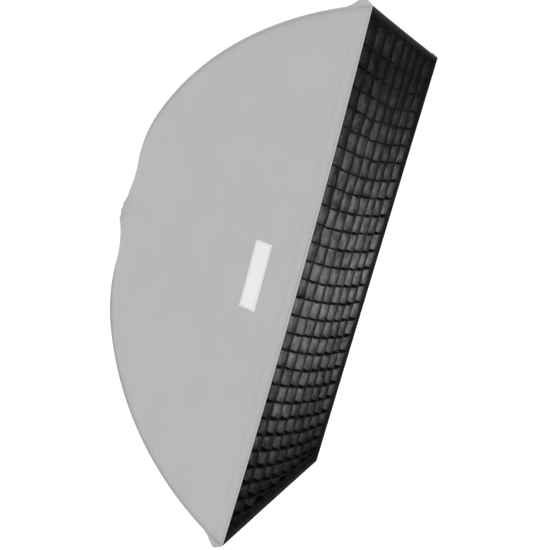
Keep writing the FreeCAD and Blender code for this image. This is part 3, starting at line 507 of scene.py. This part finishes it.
def stitch_mesh(lines, pitch, length, radius):
    """Rows of stitches. Each line is its points, and the directions away from the cloth."""
    parts = []
    rings_of_stitch = ((-0.5, 0.35), (-0.25, 1.0), (0.25, 1.0), (0.5, 0.35))
    for points, facing in lines:
        run = run_along(points)
        places = np.arange(pitch / 2, run[-1], pitch)
        centre = between(points, run, places)
        up = unit(between(facing, run, places))
        forward = unit(between(points, run, places + NUDGE) - between(points, run, places - NUDGE))
        sideways = unit(np.cross(forward, up))
        rings = []
        for reach, width in rings_of_stitch:
            middle = centre + forward * reach * length + up * radius * 0.25
            for one, two in ((1, 0), (0, 1), (-1, 0), (0, -1)):
                rings.append(middle + (sideways * one + up * two) * radius * width)
        block = np.stack(rings, axis=1)
        sides = [(4 * ring + side, 4 * ring + (side + 1) % 4, 4 * ring + 4 + (side + 1) % 4,
                  4 * ring + 4 + side) for ring in range(3) for side in range(4)]
        pattern = np.array(sides + [(3, 2, 1, 0), (12, 13, 14, 15)])
        faces = (np.arange(len(places))[:, None, None] * 16 + pattern).reshape(-1, 4)
        flat = np.stack([places.repeat(16), np.tile(np.arange(16) * radius, len(places))],
                        axis=-1)
        parts.append((block.reshape(-1, 3), faces, flat[faces].reshape(-1, 2)))
    return join(parts)


# ---- shell shape
# The front is twice as long as it is wide, and each corner seam bends outward in two arcs.
ALONG, ACROSS = 2 / math.sqrt(5), 1 / math.sqrt(5)
BACK_RADIUS, FRONT_RADIUS = 0.490, 0.900
START_REACH, START_Y = 0.050, -0.0078
START_SLOPE, JOIN_SLOPE = math.radians(2.15), math.radians(34.65)
BACK_CENTRE = (START_REACH - BACK_RADIUS * math.sin(START_SLOPE),
               START_Y - BACK_RADIUS * math.cos(START_SLOPE))
FRONT_CENTRE = (BACK_CENTRE[0] + (BACK_RADIUS - FRONT_RADIUS) * math.sin(JOIN_SLOPE),
                BACK_CENTRE[1] + (BACK_RADIUS - FRONT_RADIUS) * math.cos(JOIN_SLOPE))
OPENING = 0.0796     # radius of the hole that the cuff closes
OPENING_ROUND = 12   # how tightly a panel bends from flat to round at the hole
EDGE_GAP = 0.0021    # from a panel's edge to the corner line
ROD_INSET = 0.025    # from the corner line in to the rod's middle
LIP_DEPTH = 0.076
SHELL_CLOTH = 0.0012
LINING_OUTSIDE, LINING_INSIDE = 0.0016, 0.0022
TABLE_SIZE = 20001


def corner_line(slope, inset=0.0):
    """(distance from the axis, Y) on the line that a rod bends the corner seam to."""
    back = slope <= JOIN_SLOPE
    radius = np.where(back, BACK_RADIUS, FRONT_RADIUS) - inset
    reach = np.where(back, BACK_CENTRE[0], FRONT_CENTRE[0]) + radius * np.sin(slope)
    return reach, np.where(back, BACK_CENTRE[1], FRONT_CENTRE[1]) + radius * np.cos(slope)


def slope_at_y(y, inset=0.0):
    table = np.linspace(0, math.pi / 2, TABLE_SIZE)
    return np.interp(-y, -corner_line(table, inset)[1], table)


RIM_SLOPE = float(slope_at_y(RIM_Y))
LIP_SLOPE = float(slope_at_y(RIM_Y + LIP_DEPTH))
OPEN_SLOPE = float(np.interp(OPENING, corner_line(np.linspace(0, 1, TABLE_SIZE))[0],
                             np.linspace(0, 1, TABLE_SIZE)))

# sag is how far the middle of a panel is drawn in, and bow the same at its front edge
PANELS = {"left": dict(side=-1, out=ACROSS, wide=ALONG, sag=0.012, bow=0.023, seed=11),
          "right": dict(side=1, out=ACROSS, wide=ALONG, sag=0.012, bow=0.002, seed=23),
          "top": dict(side=1, out=ALONG, wide=ACROSS, sag=0.005, bow=0.001, seed=37),
          "bottom": dict(side=-1, out=ALONG, wide=ACROSS, sag=0.005, bow=0.001, seed=41)}


def turned_out(panel, out, sideways, y):
    """A panel's own directions as X, Y, Z."""
    out = out * PANELS[panel]["side"]
    parts = (sideways, y, out) if panel in ("top", "bottom") else (out, y, sideways)
    return np.stack(np.broadcast_arrays(*parts), axis=-1)


def drawn_in(panel, slope):
    """How far the middle of a panel lies inside the flat between its corner seams."""
    kind = PANELS[panel]
    way = np.clip((slope - OPEN_SLOPE) / (RIM_SLOPE - OPEN_SLOPE), 0, None)
    return kind["sag"] * np.sin(math.pi * way) ** 2 + kind["bow"] * way ** 3


def plain_skin(panel, slope, share):
    """Points of a panel without creases: slope runs to the rim, share across from -1 to 1."""
    kind = PANELS[panel]
    reach, y = corner_line(slope)
    flat = kind["out"] * reach
    swollen = (flat ** OPENING_ROUND + OPENING ** OPENING_ROUND) ** (1 / OPENING_ROUND)
    half = math.acos(kind["out"])
    arch = (np.cos(share * half) - kind["out"]) / (1 - kind["out"])
    round_share = np.minimum(1, (swollen - flat) / (OPENING * (1 - kind["out"])))
    out = flat + (swollen - flat) * arch - drawn_in(panel, slope) * (1 - share ** 2)
    bent = np.sin(share * half) / math.sin(half)
    sideways = kind["wide"] * reach * ((1 - round_share) * share + round_share * bent)
    return turned_out(panel, out, sideways, y)


def creases(panel, slope, share):
    """How far the cloth stands off its smooth shape: long soft folds, puckers, gathers."""
    kind = PANELS[panel]
    seed = kind["seed"]
    half_width = kind["wide"] * corner_line(slope)[0]
    edge = (1 - np.abs(share)) * half_width
    way = (slope - OPEN_SLOPE) / (RIM_SLOPE - OPEN_SLOPE)
    run = way * 0.95
    broad = 0.0022 * cloud(share * 2.1 + 9, run * 4 + 5, seed)
    lengthwise = 0.0011 * cloud(share * half_width / 0.045 + 40, run * 3.2 + 3, seed + 1)
    slanted = 0.0012 * cloud((share * half_width - run * 0.35) / 0.09 + 20,
                             (run + share * 0.1) * 2.4 + 8, seed + 2)
    drag = 0.0016 * np.exp(-edge / 0.035) * cloud(edge / 0.02, run * 7, seed + 3)
    pucker = np.exp(-edge / 0.016) * np.sin(2 * math.pi * run / 0.024
                                            + 2.5 * cloud(run * 9, share * 0 + 4, seed + 4))
    gather = np.exp(-run / 0.05) * np.sin(share * 8 * math.pi
                                          + 2 * cloud(share * 5, run * 3, seed + 5))
    total = broad + lengthwise + slanted + drag + 0.0006 * pucker + 0.0014 * gather
    at_edge = ease(edge / 0.012)
    at_rim = 0.12 + 0.88 * ease((RIM_SLOPE - slope) / (RIM_SLOPE - LIP_SLOPE) / 1.6 - 0.2)
    at_ring = ease(run / 0.006)
    return total * at_edge * at_rim * at_ring


def skin(panel, slope, share, depth=0.0):
    """Points of a panel at a depth inside its outer face, and the directions that face out."""
    slope, share = np.broadcast_arrays(slope, share)
    down = plain_skin(panel, slope + NUDGE, share) - plain_skin(panel, slope - NUDGE, share)
    over = plain_skin(panel, slope, share + NUDGE) - plain_skin(panel, slope, share - NUDGE)
    facing = unit(np.cross(down, over))
    outside = turned_out(panel, 1.0, 0.0, 1.0)
    facing = facing * np.where((facing * outside).sum(-1) < 0, -1, 1)[..., None]
    lift = creases(panel, slope, share) - depth
    return plain_skin(panel, slope, share) + facing * lift[..., None], facing


def share_limit(panel, slope, gap=EDGE_GAP):
    """The share of the width where the cloth stops, a distance short of the corner line."""
    kind = PANELS[panel]
    slant = np.hypot(np.sin(slope), kind["out"] * np.cos(slope))
    return 1 - gap / (kind["wide"] * corner_line(slope)[0] * slant)


def panel_mesh(panel, rows, columns, outer, inner):
    """A panel between two depths, with its columns closer together near its edges."""
    slopes = np.linspace(OPEN_SLOPE, RIM_SLOPE, rows)[:, None]
    even = np.linspace(-1, 1, columns)[None, :]
    shares = np.sin(even * math.pi / 2) * 0.35 + even * 0.65
    shares = shares * share_limit(panel, slopes)
    return slab_mesh(*[skin(panel, slopes, shares, depth)[0] for depth in (outer, inner)])


# ---- shell, lining, seams
for panel in PANELS:
    columns = 110 if panel in ("left", "right") else 64
    shell = piece(f"shell_{panel}", panel_mesh(panel, 130, columns, 0, SHELL_CLOTH), SHELL,
                  "softbox")
    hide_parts(f"shell_panel_{panel}")
    lining = piece(f"silver_lining_{panel}",
                   panel_mesh(panel, 90, 60, LINING_OUTSIDE, LINING_INSIDE), LINING,
                   "softbox")
    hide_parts(f"lining_{panel}")

# two rows of stitches beside each corner seam, and two along the rim
lines = []
for panel in PANELS:
    slopes = np.linspace(OPEN_SLOPE + 0.03, RIM_SLOPE - 0.004, 220)
    for side in (-1, 1):
        for gap in (0.0052, 0.0105):
            lines.append(skin(panel, slopes, side * share_limit(panel, slopes, gap)))
    for back in (0.0045, 0.024):
        slope = float(slope_at_y(RIM_Y + back))
        shares = np.linspace(-1, 1, 160) * share_limit(panel, slope, 0.006)
        lines.append(skin(panel, slope, shares))
piece("shell_stitches", stitch_mesh(lines, pitch=0.0046, length=0.0032, radius=0.00045),
      THREAD_GREY, "softbox")

for corner in CORNERS:
    dress(f"corner_seam_{corner}", PIPING)


# ---- corner tabs and pockets
BACKWARD = np.array([0, 1, 0])


def corner_axes(corner):
    side, end = CORNERS[corner]
    outward = np.array([side * ACROSS, 0, end * ALONG])
    return outward, np.cross(outward, BACKWARD)


def line_point(corner, slope, inset=0.0):
    """A point of a corner line, or inside it, and the direction along it towards the rim."""
    outward, _ = corner_axes(corner)
    reach, y = corner_line(slope, inset)
    return outward * reach + BACKWARD * y, outward * math.cos(slope) - BACKWARD * math.sin(slope)


def seam_point(corner, behind_rim):
    """A point of a corner line behind the rim, and the direction away from the softbox there."""
    base, ahead = line_point(corner, float(slope_at_y(RIM_Y + behind_rim)))
    outward, sideways = corner_axes(corner)
    away = np.cross(ahead, sideways)
    return base, away * np.sign(away @ outward)


TAB_LENGTH, TAB_START = 0.048, 0.0012
TAB_HEIGHT, TAB_LOW = 0.0110, 0.0008
TAB_CLEAR, TAB_ROOT = 0.0026, 0.0012
TAB_STITCHES = ((0.0056, 0.0084), np.linspace(0.007, 0.022, 24), 0.0033)


def tab_mesh(corner, seed):
    """Webbing folded over the corner seam's front end: a flat ear, rounded at its fold."""
    _, sideways = corner_axes(corner)
    back = np.linspace(0, 1, 34) ** 1.25 * TAB_LENGTH + TAB_START
    rise = ease(back / 0.012) * (1 - ease((back - 0.014) / 0.035))
    around = np.linspace(0, math.pi, 26)
    bulge = np.sign(np.cos(around)) * np.abs(np.cos(around)) ** 0.45
    lift = np.sin(around) ** 0.55
    rings = []
    for distance, height in zip(back, rise):
        base, away = seam_point(corner, distance)
        uneven = 1 + 0.12 * float(cloud(distance / 0.012, 3.0, seed))
        half = (0.0021 + 0.0013 * height) * uneven
        reach = TAB_ROOT + TAB_LOW + TAB_HEIGHT * height
        rings.append(base + away * (TAB_CLEAR - TAB_ROOT + reach * lift)[:, None]
                     + sideways * (half * bulge)[:, None])
    return ring_mesh(np.array(rings))


# a pocket is a cup of webbing with a hem at its mouth: (distance from the mouth, radius)
POCKET_PROFILE = [(0.0, 0.0056), (0.0, 0.0070), (0.0008, 0.0074), (0.0045, 0.0074),
                  (0.0052, 0.0069), (0.014, 0.0067), (0.024, 0.0069), (0.033, 0.0067),
                  (0.0372, 0.0056), (0.0381, 0.0030), (0.0383, 0.0004), (0.0361, 0.0004),
                  (0.0360, 0.0040), (0.0354, 0.0054), (0.020, 0.0056)]
CAP_BEHIND_RIM, POCKET_BACK = 0.112, 0.0098
for number, corner in enumerate(CORNERS):
    tab = piece(f"folded_tab_{corner}", tab_mesh(corner, 60 + number), WEBBING,
                "softbox")
    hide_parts(f"corner_tab_{corner}")
    _, sideways = corner_axes(corner)
    heights, distances, half_width = TAB_STITCHES
    rows = []
    for side in (-1, 1):
        for reach in heights:
            points = []
            for distance in distances:
                base, away = seam_point(corner, distance)
                points.append(base + away * reach + sideways * side * half_width)
            rows.append((points, np.tile(sideways * side, (len(points), 1))))
    piece(f"tab_stitches_{corner}", stitch_mesh(rows, pitch=0.0036, length=0.0026, radius=0.0005),
          THREAD_GREY, "softbox")
    base, ahead = line_point(corner, float(slope_at_y(RIM_Y + CAP_BEHIND_RIM, ROD_INSET)),
                             ROD_INSET)
    pocket = piece(f"rod_pocket_{corner}",
                   turned_mesh(POCKET_PROFILE, base - ahead * POCKET_BACK, ahead,
                               sides=44, ripple=0.035, seed=70 + number),
                   WEBBING, "softbox")
    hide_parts(f"corner_pocket_{corner}")


# ---- rim
def rim_half(panel, depth, share=1.0):
    """Half of the front opening's width at a depth behind the rim."""
    halves = [PANELS[panel]["out"] * corner_line(slope)[0]
              - drawn_in(panel, slope) * (1 - share ** 2)
              for slope in (RIM_SLOPE, LIP_SLOPE)]
    return halves[0] + (halves[1] - halves[0]) * depth / LIP_DEPTH


def outline(depth, inset, columns, wave=0.0):
    """The rim's outline at a depth behind it and an inset, from the lower left corner up."""
    sides = []
    for panel, direction in (("left", 1), ("top", 1), ("right", -1), ("bottom", -1)):
        beside = "top" if panel in ("left", "right") else "right"
        share = (np.arange(columns) / columns * 2 - 1) * direction
        ripple = wave * (1 - share ** 6) * cloud(share * 6 + 8, depth / 0.05 + 2,
                                                 PANELS[panel]["seed"])
        out = rim_half(panel, depth, share) - inset - ripple
        sideways = share * (rim_half(beside, depth) - inset)
        sides.append(turned_out(panel, out, sideways, RIM_Y + depth))
    return np.concatenate(sides)


def band_mesh(front, back, inset, thickness, rows=5, columns=60, wave=0.0007):
    """A band of cloth round the rim's inside. Every band waves the same way."""
    grids = [np.array([outline(depth, step, columns, wave)
                       for depth in np.linspace(front, back, rows)])
             for step in (inset, inset + thickness)]
    return slab_mesh(*grids, wrap=True)


def folded_binding(columns=70):
    """Binding folded over the front edges of the shell, the lining and the lip."""
    grids = []
    for start, fold_depth, reach, half_width, end in (
            (-0.0010, 0.0003, 0.0025, 0.0032, 0.0054), (-0.0004, 0.0004, 0.0018, 0.0026, 0.0047)):
        path = [(fold_depth - reach * math.sin(turn), 0.0022 - half_width * math.cos(turn))
                for turn in np.linspace(0, math.pi, 9)]
        path = [(0.0016, start)] + path + [(0.0075, end)]
        grids.append(np.array([outline(depth, inset, columns) for depth, inset in path]))
    return slab_mesh(*grids, wrap=True)


LIP_FRONT, LIP_INSET, LIP_CLOTH = 0.0002, 0.0028, 0.0016
LOOP_INSET, HOOK_INSET = 0.00455, 0.0057
TAPE_WIDTH, TAPE_CLOTH = 0.022, 0.001
GRID_TAPE, DIFFUSER_TAPE, DIFFUSER_HEM_END = 0.008, 0.051, 0.0735
BORDER_FRONT, BORDER_BACK = 0.003, 0.069
BORDER_INSET, BORDER_CLOTH, BORDER_INSIDE = 0.00685, 0.0014, 0.00825
binding = piece("folded_rim_binding", folded_binding(), BINDING, "softbox")
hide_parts("rim_binding")
lip = piece("black_lip", band_mesh(LIP_FRONT, LIP_DEPTH, LIP_INSET, LIP_CLOTH, rows=9), BLACK,
            "softbox")
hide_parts("front_lip")
for name, front, inset, body in (("lip_tape_grid", GRID_TAPE, LOOP_INSET, "softbox"),
                                 ("lip_tape_diffuser", DIFFUSER_TAPE, LOOP_INSET, "softbox"),
                                 ("grid_tape", GRID_TAPE, HOOK_INSET, "grid")):
    tape = piece(f"{name}_loops",
                 band_mesh(front, front + TAPE_WIDTH, inset, TAPE_CLOTH, rows=4), TAPE,
                 body)
    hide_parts(name)
hem = piece("diffuser_edge_tape",
            band_mesh(DIFFUSER_TAPE, DIFFUSER_HEM_END, HOOK_INSET, TAPE_CLOTH, rows=4), TAPE,
            "diffuser")
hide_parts("diffuser_hem")
border = piece("grid_edge_band",
               band_mesh(BORDER_FRONT, BORDER_BACK, BORDER_INSET, BORDER_CLOTH,
                         rows=11, columns=84),
               GRID, "grid")
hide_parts("grid_border")

cuff_profile = [(0.0, 0.0730), (0.0, 0.0752), (0.0009, 0.0757), (0.0031, 0.0754), (0.0052, 0.0757),
                (0.0074, 0.0754), (0.0080, 0.0750), (0.0080, 0.0730)]
cuff = piece("elastic_cuff",
             turned_mesh(cuff_profile, (0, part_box("rear_cuff")[1].y, 0), (0, -1, 0),
                         sides=160, ripple=0.003, seed=90),
             BLACK, "softbox")
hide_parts("rear_cuff")


# ---- blank label
low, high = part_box("blank_label")


def on_left(y, z, depth):
    """Points of the left panel at Y and Z, and the directions that face out."""
    slopes = slope_at_y(y)
    return skin("left", slopes, z / (ALONG * corner_line(slopes)[0]), depth)


LABEL_OUTSIDE, LABEL_INSIDE, STITCH_LIFT = 0.0009, 0.0001, 0.00095
ys, zs = np.linspace(high.y, low.y, 16)[:, None], np.linspace(low.z, high.z, 44)[None, :]
grids = [on_left(ys, zs, -lift)[0] for lift in (LABEL_OUTSIDE, LABEL_INSIDE)]
label = piece("plain_sewn_label", slab_mesh(*grids), LABEL, "softbox")
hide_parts("blank_label")
STITCH_MARGIN = 0.003
ys = np.linspace(high.y - STITCH_MARGIN, low.y + STITCH_MARGIN, 20)
zs = np.linspace(low.z + STITCH_MARGIN, high.z - STITCH_MARGIN, 60)
lines = [on_left(y, zs, -STITCH_LIFT) for y in (low.y + 0.0028, high.y - 0.0028)]
lines += [on_left(ys, z, -STITCH_LIFT) for z in (zs[0], zs[-1])]
piece("label_stitches", stitch_mesh(lines, pitch=0.0036, length=0.0026, radius=0.0004),
      THREAD_GREY, "softbox")


# ---- grid
COLUMNS, ROWS = 8, 28
GRID_FRONT, GRID_BACK = 0.004, 0.066
LAID_DEPTH = 0.046      # where the crossings are laid out, behind the rim
FAR_DROP = 0.150        # how far a low row falls from left to right
HANG = 0.013            # how far a row sags in its middle
REST_STEP = 0.0042      # between rows that rest one on another
REST_SOFTNESS = 0.008
half_z = float(rim_half("top", LAID_DEPTH)) - BORDER_INSIDE
jitter = np.random.RandomState(5).uniform(-1, 1, (2, COLUMNS + 1, ROWS + 1))
jitter[:, (0, -1), :] = 0
jitter[:, :, (0, -1)] = 0


def crossing(column, row):
    """(X, Z) where a cross strip meets a long strip.

    The grid has slipped down on the right: each row falls towards that side, more so lower down,
    and the last rows come to rest on the bottom border, one above the other.
    """
    level = -half_z + 2 * half_z * row / ROWS
    height = level + half_z
    share = column / COLUMNS
    left, right = (rim_half(panel, LAID_DEPTH, level / half_z) - BORDER_INSIDE
                   for panel in ("left", "right"))
    far_drop = FAR_DROP * ease((0.55 - level) / 0.95)
    hang = HANG * ease((half_z - level) / 0.08) * ease(height / 0.15)
    resting = REST_STEP * row
    spare = height - far_drop * share - hang * 4 * share * (1 - share) - resting
    if 0 < row < ROWS:
        spare = (spare + math.sqrt(spare ** 2 + REST_SOFTNESS ** 2)) / 2
        height = resting + spare
    over, up = jitter[:, column, row]
    rise = 0.0012 * up * ease(height / 0.06)
    return -left + (left + right) * share + 0.0022 * over, height - half_z + rise


knots = np.array([[crossing(c, r) for r in range(ROWS + 1)] for c in range(COLUMNS + 1)])


def taper(panel, share):
    """How much the front opening's half-width grows per metre of depth."""
    return float(rim_half(panel, LIP_DEPTH, share) - rim_half(panel, 0.0, share)) / LIP_DEPTH


HEM_SHARE = 0.08        # of a strip's depth
LONG_HEM, CROSS_HEM, STRIP_HALF = 0.0010, 0.0019, 0.00045


def strip_mesh(path, long_way, seed, per_cell, first, last):
    """One strip through its crossings, with a hemmed front edge that sags or bulges.

    Its ends slant to follow the border: first and last are the border's tapers there.
    """
    cells = len(path) - 1
    place = np.linspace(0, cells, cells * per_cell + 1)
    cell = np.minimum(place.astype(int), cells - 1)
    part = place - cell
    line = path[cell] * (1 - part)[:, None] + path[cell + 1] * part[:, None]
    front = GRID_FRONT + 0.0006 + 0.0010 * cloud(place * 1.3, float(seed), 3)
    across = np.array([0, 0.03, HEM_SHARE, 0.2, 0.4, 0.6, 0.8, 1.0])
    random = np.random.RandomState(1000 + seed)
    arch = 4 * part * (1 - part)
    if long_way:
        lean = random.uniform(-0.005, 0.0035, cells)[cell]
        back_lean = random.uniform(-0.002, 0.003, cells)[cell]
    else:
        lean = -random.uniform(0.0008, 0.0042, cells)[cell]
        back_lean = -random.uniform(0.0, 0.002, cells)[cell]
    shift = arch[:, None] * (lean[:, None] * (1 - across) ** 1.4 + back_lean[:, None] * across)
    shift = shift + 0.0006 * cloud(place[:, None] * 3, across * 3 + seed, 8) * arch[:, None]
    depth = front[:, None] + (GRID_BACK - front[:, None]) * across
    pulled = np.clip(place - cells + 1, 0, 1) * last - np.clip(1 - place, 0, 1) * first
    reach = pulled[:, None] * (depth - LAID_DEPTH)
    hem = LONG_HEM if long_way else CROSS_HEM
    half = np.where(across < HEM_SHARE, hem, STRIP_HALF)
    half[0] *= 0.5
    grids = []
    for side in (-1, 1):
        move = shift + half * side
        x = line[:, :1] + (move if long_way else reach)
        z = line[:, 1:] + (reach if long_way else move)
        grids.append(np.stack(np.broadcast_arrays(x, RIM_Y + depth, z), axis=-1))
    return slab_mesh(*grids)


long_parts, cross_parts = [], []
for column in range(1, COLUMNS):
    end = taper("top", 2 * column / COLUMNS - 1)
    long_parts.append(strip_mesh(knots[column], long_way=True, seed=column, per_cell=5,
                                 first=end, last=end))
for row in range(1, ROWS):
    first = taper("left", knots[0, row, 1] / half_z)
    last = taper("right", knots[-1, row, 1] / half_z)
    cross_parts.append(strip_mesh(knots[:, row], long_way=False, seed=20 + row, per_cell=8,
                                  first=first, last=last))
long_grid = piece("grid_strips_lengthwise", join(long_parts), GRID, "grid")
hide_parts("grid_long_strips")
cross_grid = piece("grid_strips_crosswise", join(cross_parts), HEMMED, "grid")
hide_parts("grid_cross_strips")


# ---- diffuser and baffle
def flat_sheet(left, right, half_z_size, y, thickness, lift, columns, rows):
    """A stretched sheet across the axis; lift moves its points along Y."""
    share_x = np.linspace(-1, 1, columns)[None, :]
    share_z = np.linspace(-1, 1, rows)[:, None]
    x = (right(share_z) - left(share_z)) / 2 + (right(share_z) + left(share_z)) / 2 * share_x
    z = half_z_size(share_x) * share_z
    rise = y + lift(share_x, share_z)
    grids = [np.stack(np.broadcast_arrays(x, rise + step, z), axis=-1)
             for step in (-thickness / 2, thickness / 2)]
    return slab_mesh(*grids)


def diffuser_lift(share_x, share_z):
    taut = (1 - share_x ** 8) * (1 - share_z ** 8)
    folds = 0.0012 * cloud(share_x * 3 + share_z * 4, share_z * 5 + 7, 51)
    ripples = 0.0005 * cloud(share_x * 12, share_z * 9, 52)
    return taut * (folds + ripples + 0.0008)


HEM_DEPTH, HEM_INSIDE, DIFFUSER_BACK = 0.074, 0.0069, 0.0745


def inside_hem(panel):
    return lambda share: rim_half(panel, HEM_DEPTH, share) - HEM_INSIDE


diffuser = piece("front_diffusion_cloth",
                 flat_sheet(inside_hem("left"), inside_hem("right"), inside_hem("top"),
                            RIM_Y + DIFFUSER_BACK, thickness=0.0007, lift=diffuser_lift,
                            columns=48, rows=96),
                 WHITE, "diffuser")
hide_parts("front_diffuser")

BAFFLE_Y = RIM_Y + 0.300
HALF_X, HALF_Z = 0.175, 0.400


def drawn_edge(half, bow):
    """Half of a sheet's width along its edge, which is drawn in at its middle."""
    return lambda share: half - bow * (1 - share ** 2)


def baffle_lift(share_x, share_z):
    corner = np.maximum(0, np.abs(share_x) + np.abs(share_z) - 1.2)
    pull = 0.0030 * corner * np.sin(26 * (np.abs(share_x) - np.abs(share_z)))
    billow = 0.004 * (1 - share_x ** 2) * (1 - share_z ** 2)
    return pull + billow + 0.0012 * cloud(share_x * 4 + 3, share_z * 6, 61)


side, end = drawn_edge(HALF_X, 0.004), drawn_edge(HALF_Z, 0.005)
baffle = piece("inner_baffle_cloth",
               flat_sheet(side, side, end, BAFFLE_Y, thickness=0.0008, lift=baffle_lift,
                          columns=44, rows=90),
               WHITE, "baffle")
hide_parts("baffle_cloth")


PEG_REACH = 0.019       # from the rod's middle in to the anchor's peg
RING_RADIUS, FOLD_RADIUS, STRAP_CLOTH = 0.009, 0.0024, 0.0010


def strap_mesh(corner):
    """Elastic from the baffle's corner to its ring, folded round the ring's wire."""
    side, end = CORNERS[corner]
    start = np.array([side * HALF_X, BAFFLE_Y, end * HALF_Z])
    peg, _ = line_point(corner, float(slope_at_y(BAFFLE_Y, ROD_INSET)), ROD_INSET)
    peg = peg - corner_axes(corner)[0] * PEG_REACH
    direction = unit(peg - start)
    sideways = np.cross(direction, BACKWARD)
    wire = float(np.linalg.norm(peg - start)) - RING_RADIUS
    path = [(-0.015, -0.0016), (0.0, -0.0016), (wire * 0.5, -0.0014), (wire - 0.006, -0.0015)]
    path += [(wire + FOLD_RADIUS * math.cos(turn), FOLD_RADIUS * math.sin(turn))
             for turn in np.linspace(-math.pi / 2, math.pi / 2, 9)]
    path = np.array(path + [(wire - 0.006, 0.0012), (wire - 0.020, -0.0001)])
    tangent = unit(np.gradient(path, axis=0))
    outer = path + np.stack([tangent[:, 1], -tangent[:, 0]], axis=1) * STRAP_CLOTH
    width = np.interp(path[:, 0], (wire - 0.016, wire - 0.004), (0.009, 0.0068))
    grids = []
    for line in (path, outer):
        centre = start + line[:, :1] * direction + line[:, 1:] * BACKWARD
        grids.append(centre[:, None] + np.linspace(-1, 1, 7)[None, :, None]
                     * width[:, None, None] * sideways)
    return slab_mesh(*grids)


straps = piece("elastic_straps", join([strap_mesh(corner) for corner in CORNERS]), ELASTIC,
               "baffle")
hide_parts("baffle_straps")


# ---- floor, light and camera
FLOOR_DROP, FLOOR_REACH = 0.45, 30.0
floor_z = cad_box[0][2] - FLOOR_DROP
mesh = bpy.data.meshes.new("floor")
mesh.from_pydata([(x * FLOOR_REACH, y * FLOOR_REACH, floor_z)
                  for x, y in ((-1, -1), (1, -1), (1, 1), (-1, 1))], [], [(0, 1, 2, 3)])
paint = Finish("floor_paint", 0.9)
paint.base(paint.colour((0.96, 0.96, 0.96), (0.98, 0.98, 0.98), paint.noise(0.6)))
mesh.materials.append(paint.material)
floor = bpy.data.objects.new("floor", mesh)
scene.collection.objects.link(floor)

world = bpy.data.worlds.new("surroundings")
world.use_nodes = True
sky = world.node_tree.nodes["Background"].inputs
sky["Color"].default_value, sky["Strength"].default_value = (1, 1, 1, 1), 1.12
scene.world = world
scene.view_settings.view_transform = "Standard"
rim_centre = Vector((0, RIM_Y, 0))
LIGHT_PLACE, LIGHT_SIZE, LIGHT_POWER = Vector((0.3, -2.2, 0.3)), 1.6, 30
lamp = bpy.data.lights.new("front_light", "AREA")
lamp.size, lamp.energy = LIGHT_SIZE, LIGHT_POWER
holder = bpy.data.objects.new("front_light", lamp)
holder.location = rim_centre + LIGHT_PLACE
holder.rotation_euler = (-LIGHT_PLACE).to_track_quat("-Z", "Y").to_euler()
holder.visible_camera = False
scene.collection.objects.link(holder)

# the photograph's viewing angle: from the left and the front, a little above, and tilted
CAMERA_PLACE = Vector((-1.7299, -0.5166, 0.3708))
AZIMUTH, ELEVATION, TILT = math.radians(68.48), math.radians(12.34), math.radians(15.18)
forward = Vector((math.sin(AZIMUTH) * math.cos(ELEVATION),
                  math.cos(AZIMUTH) * math.cos(ELEVATION), -math.sin(ELEVATION)))
level = Vector((math.cos(AZIMUTH), -math.sin(AZIMUTH), 0))
upright = level.cross(forward)
right = level * math.cos(TILT) + upright * math.sin(TILT)
up = right.cross(forward)
camera = bpy.data.objects.new("camera", bpy.data.cameras.new("camera"))
camera.data.lens, camera.data.sensor_width = 48.94, 36
turn = Matrix((right, up, -forward)).transposed().to_4x4()
camera.matrix_world = Matrix.Translation(rim_centre + CAMERA_PLACE) @ turn
scene.collection.objects.link(camera)
scene.camera = camera
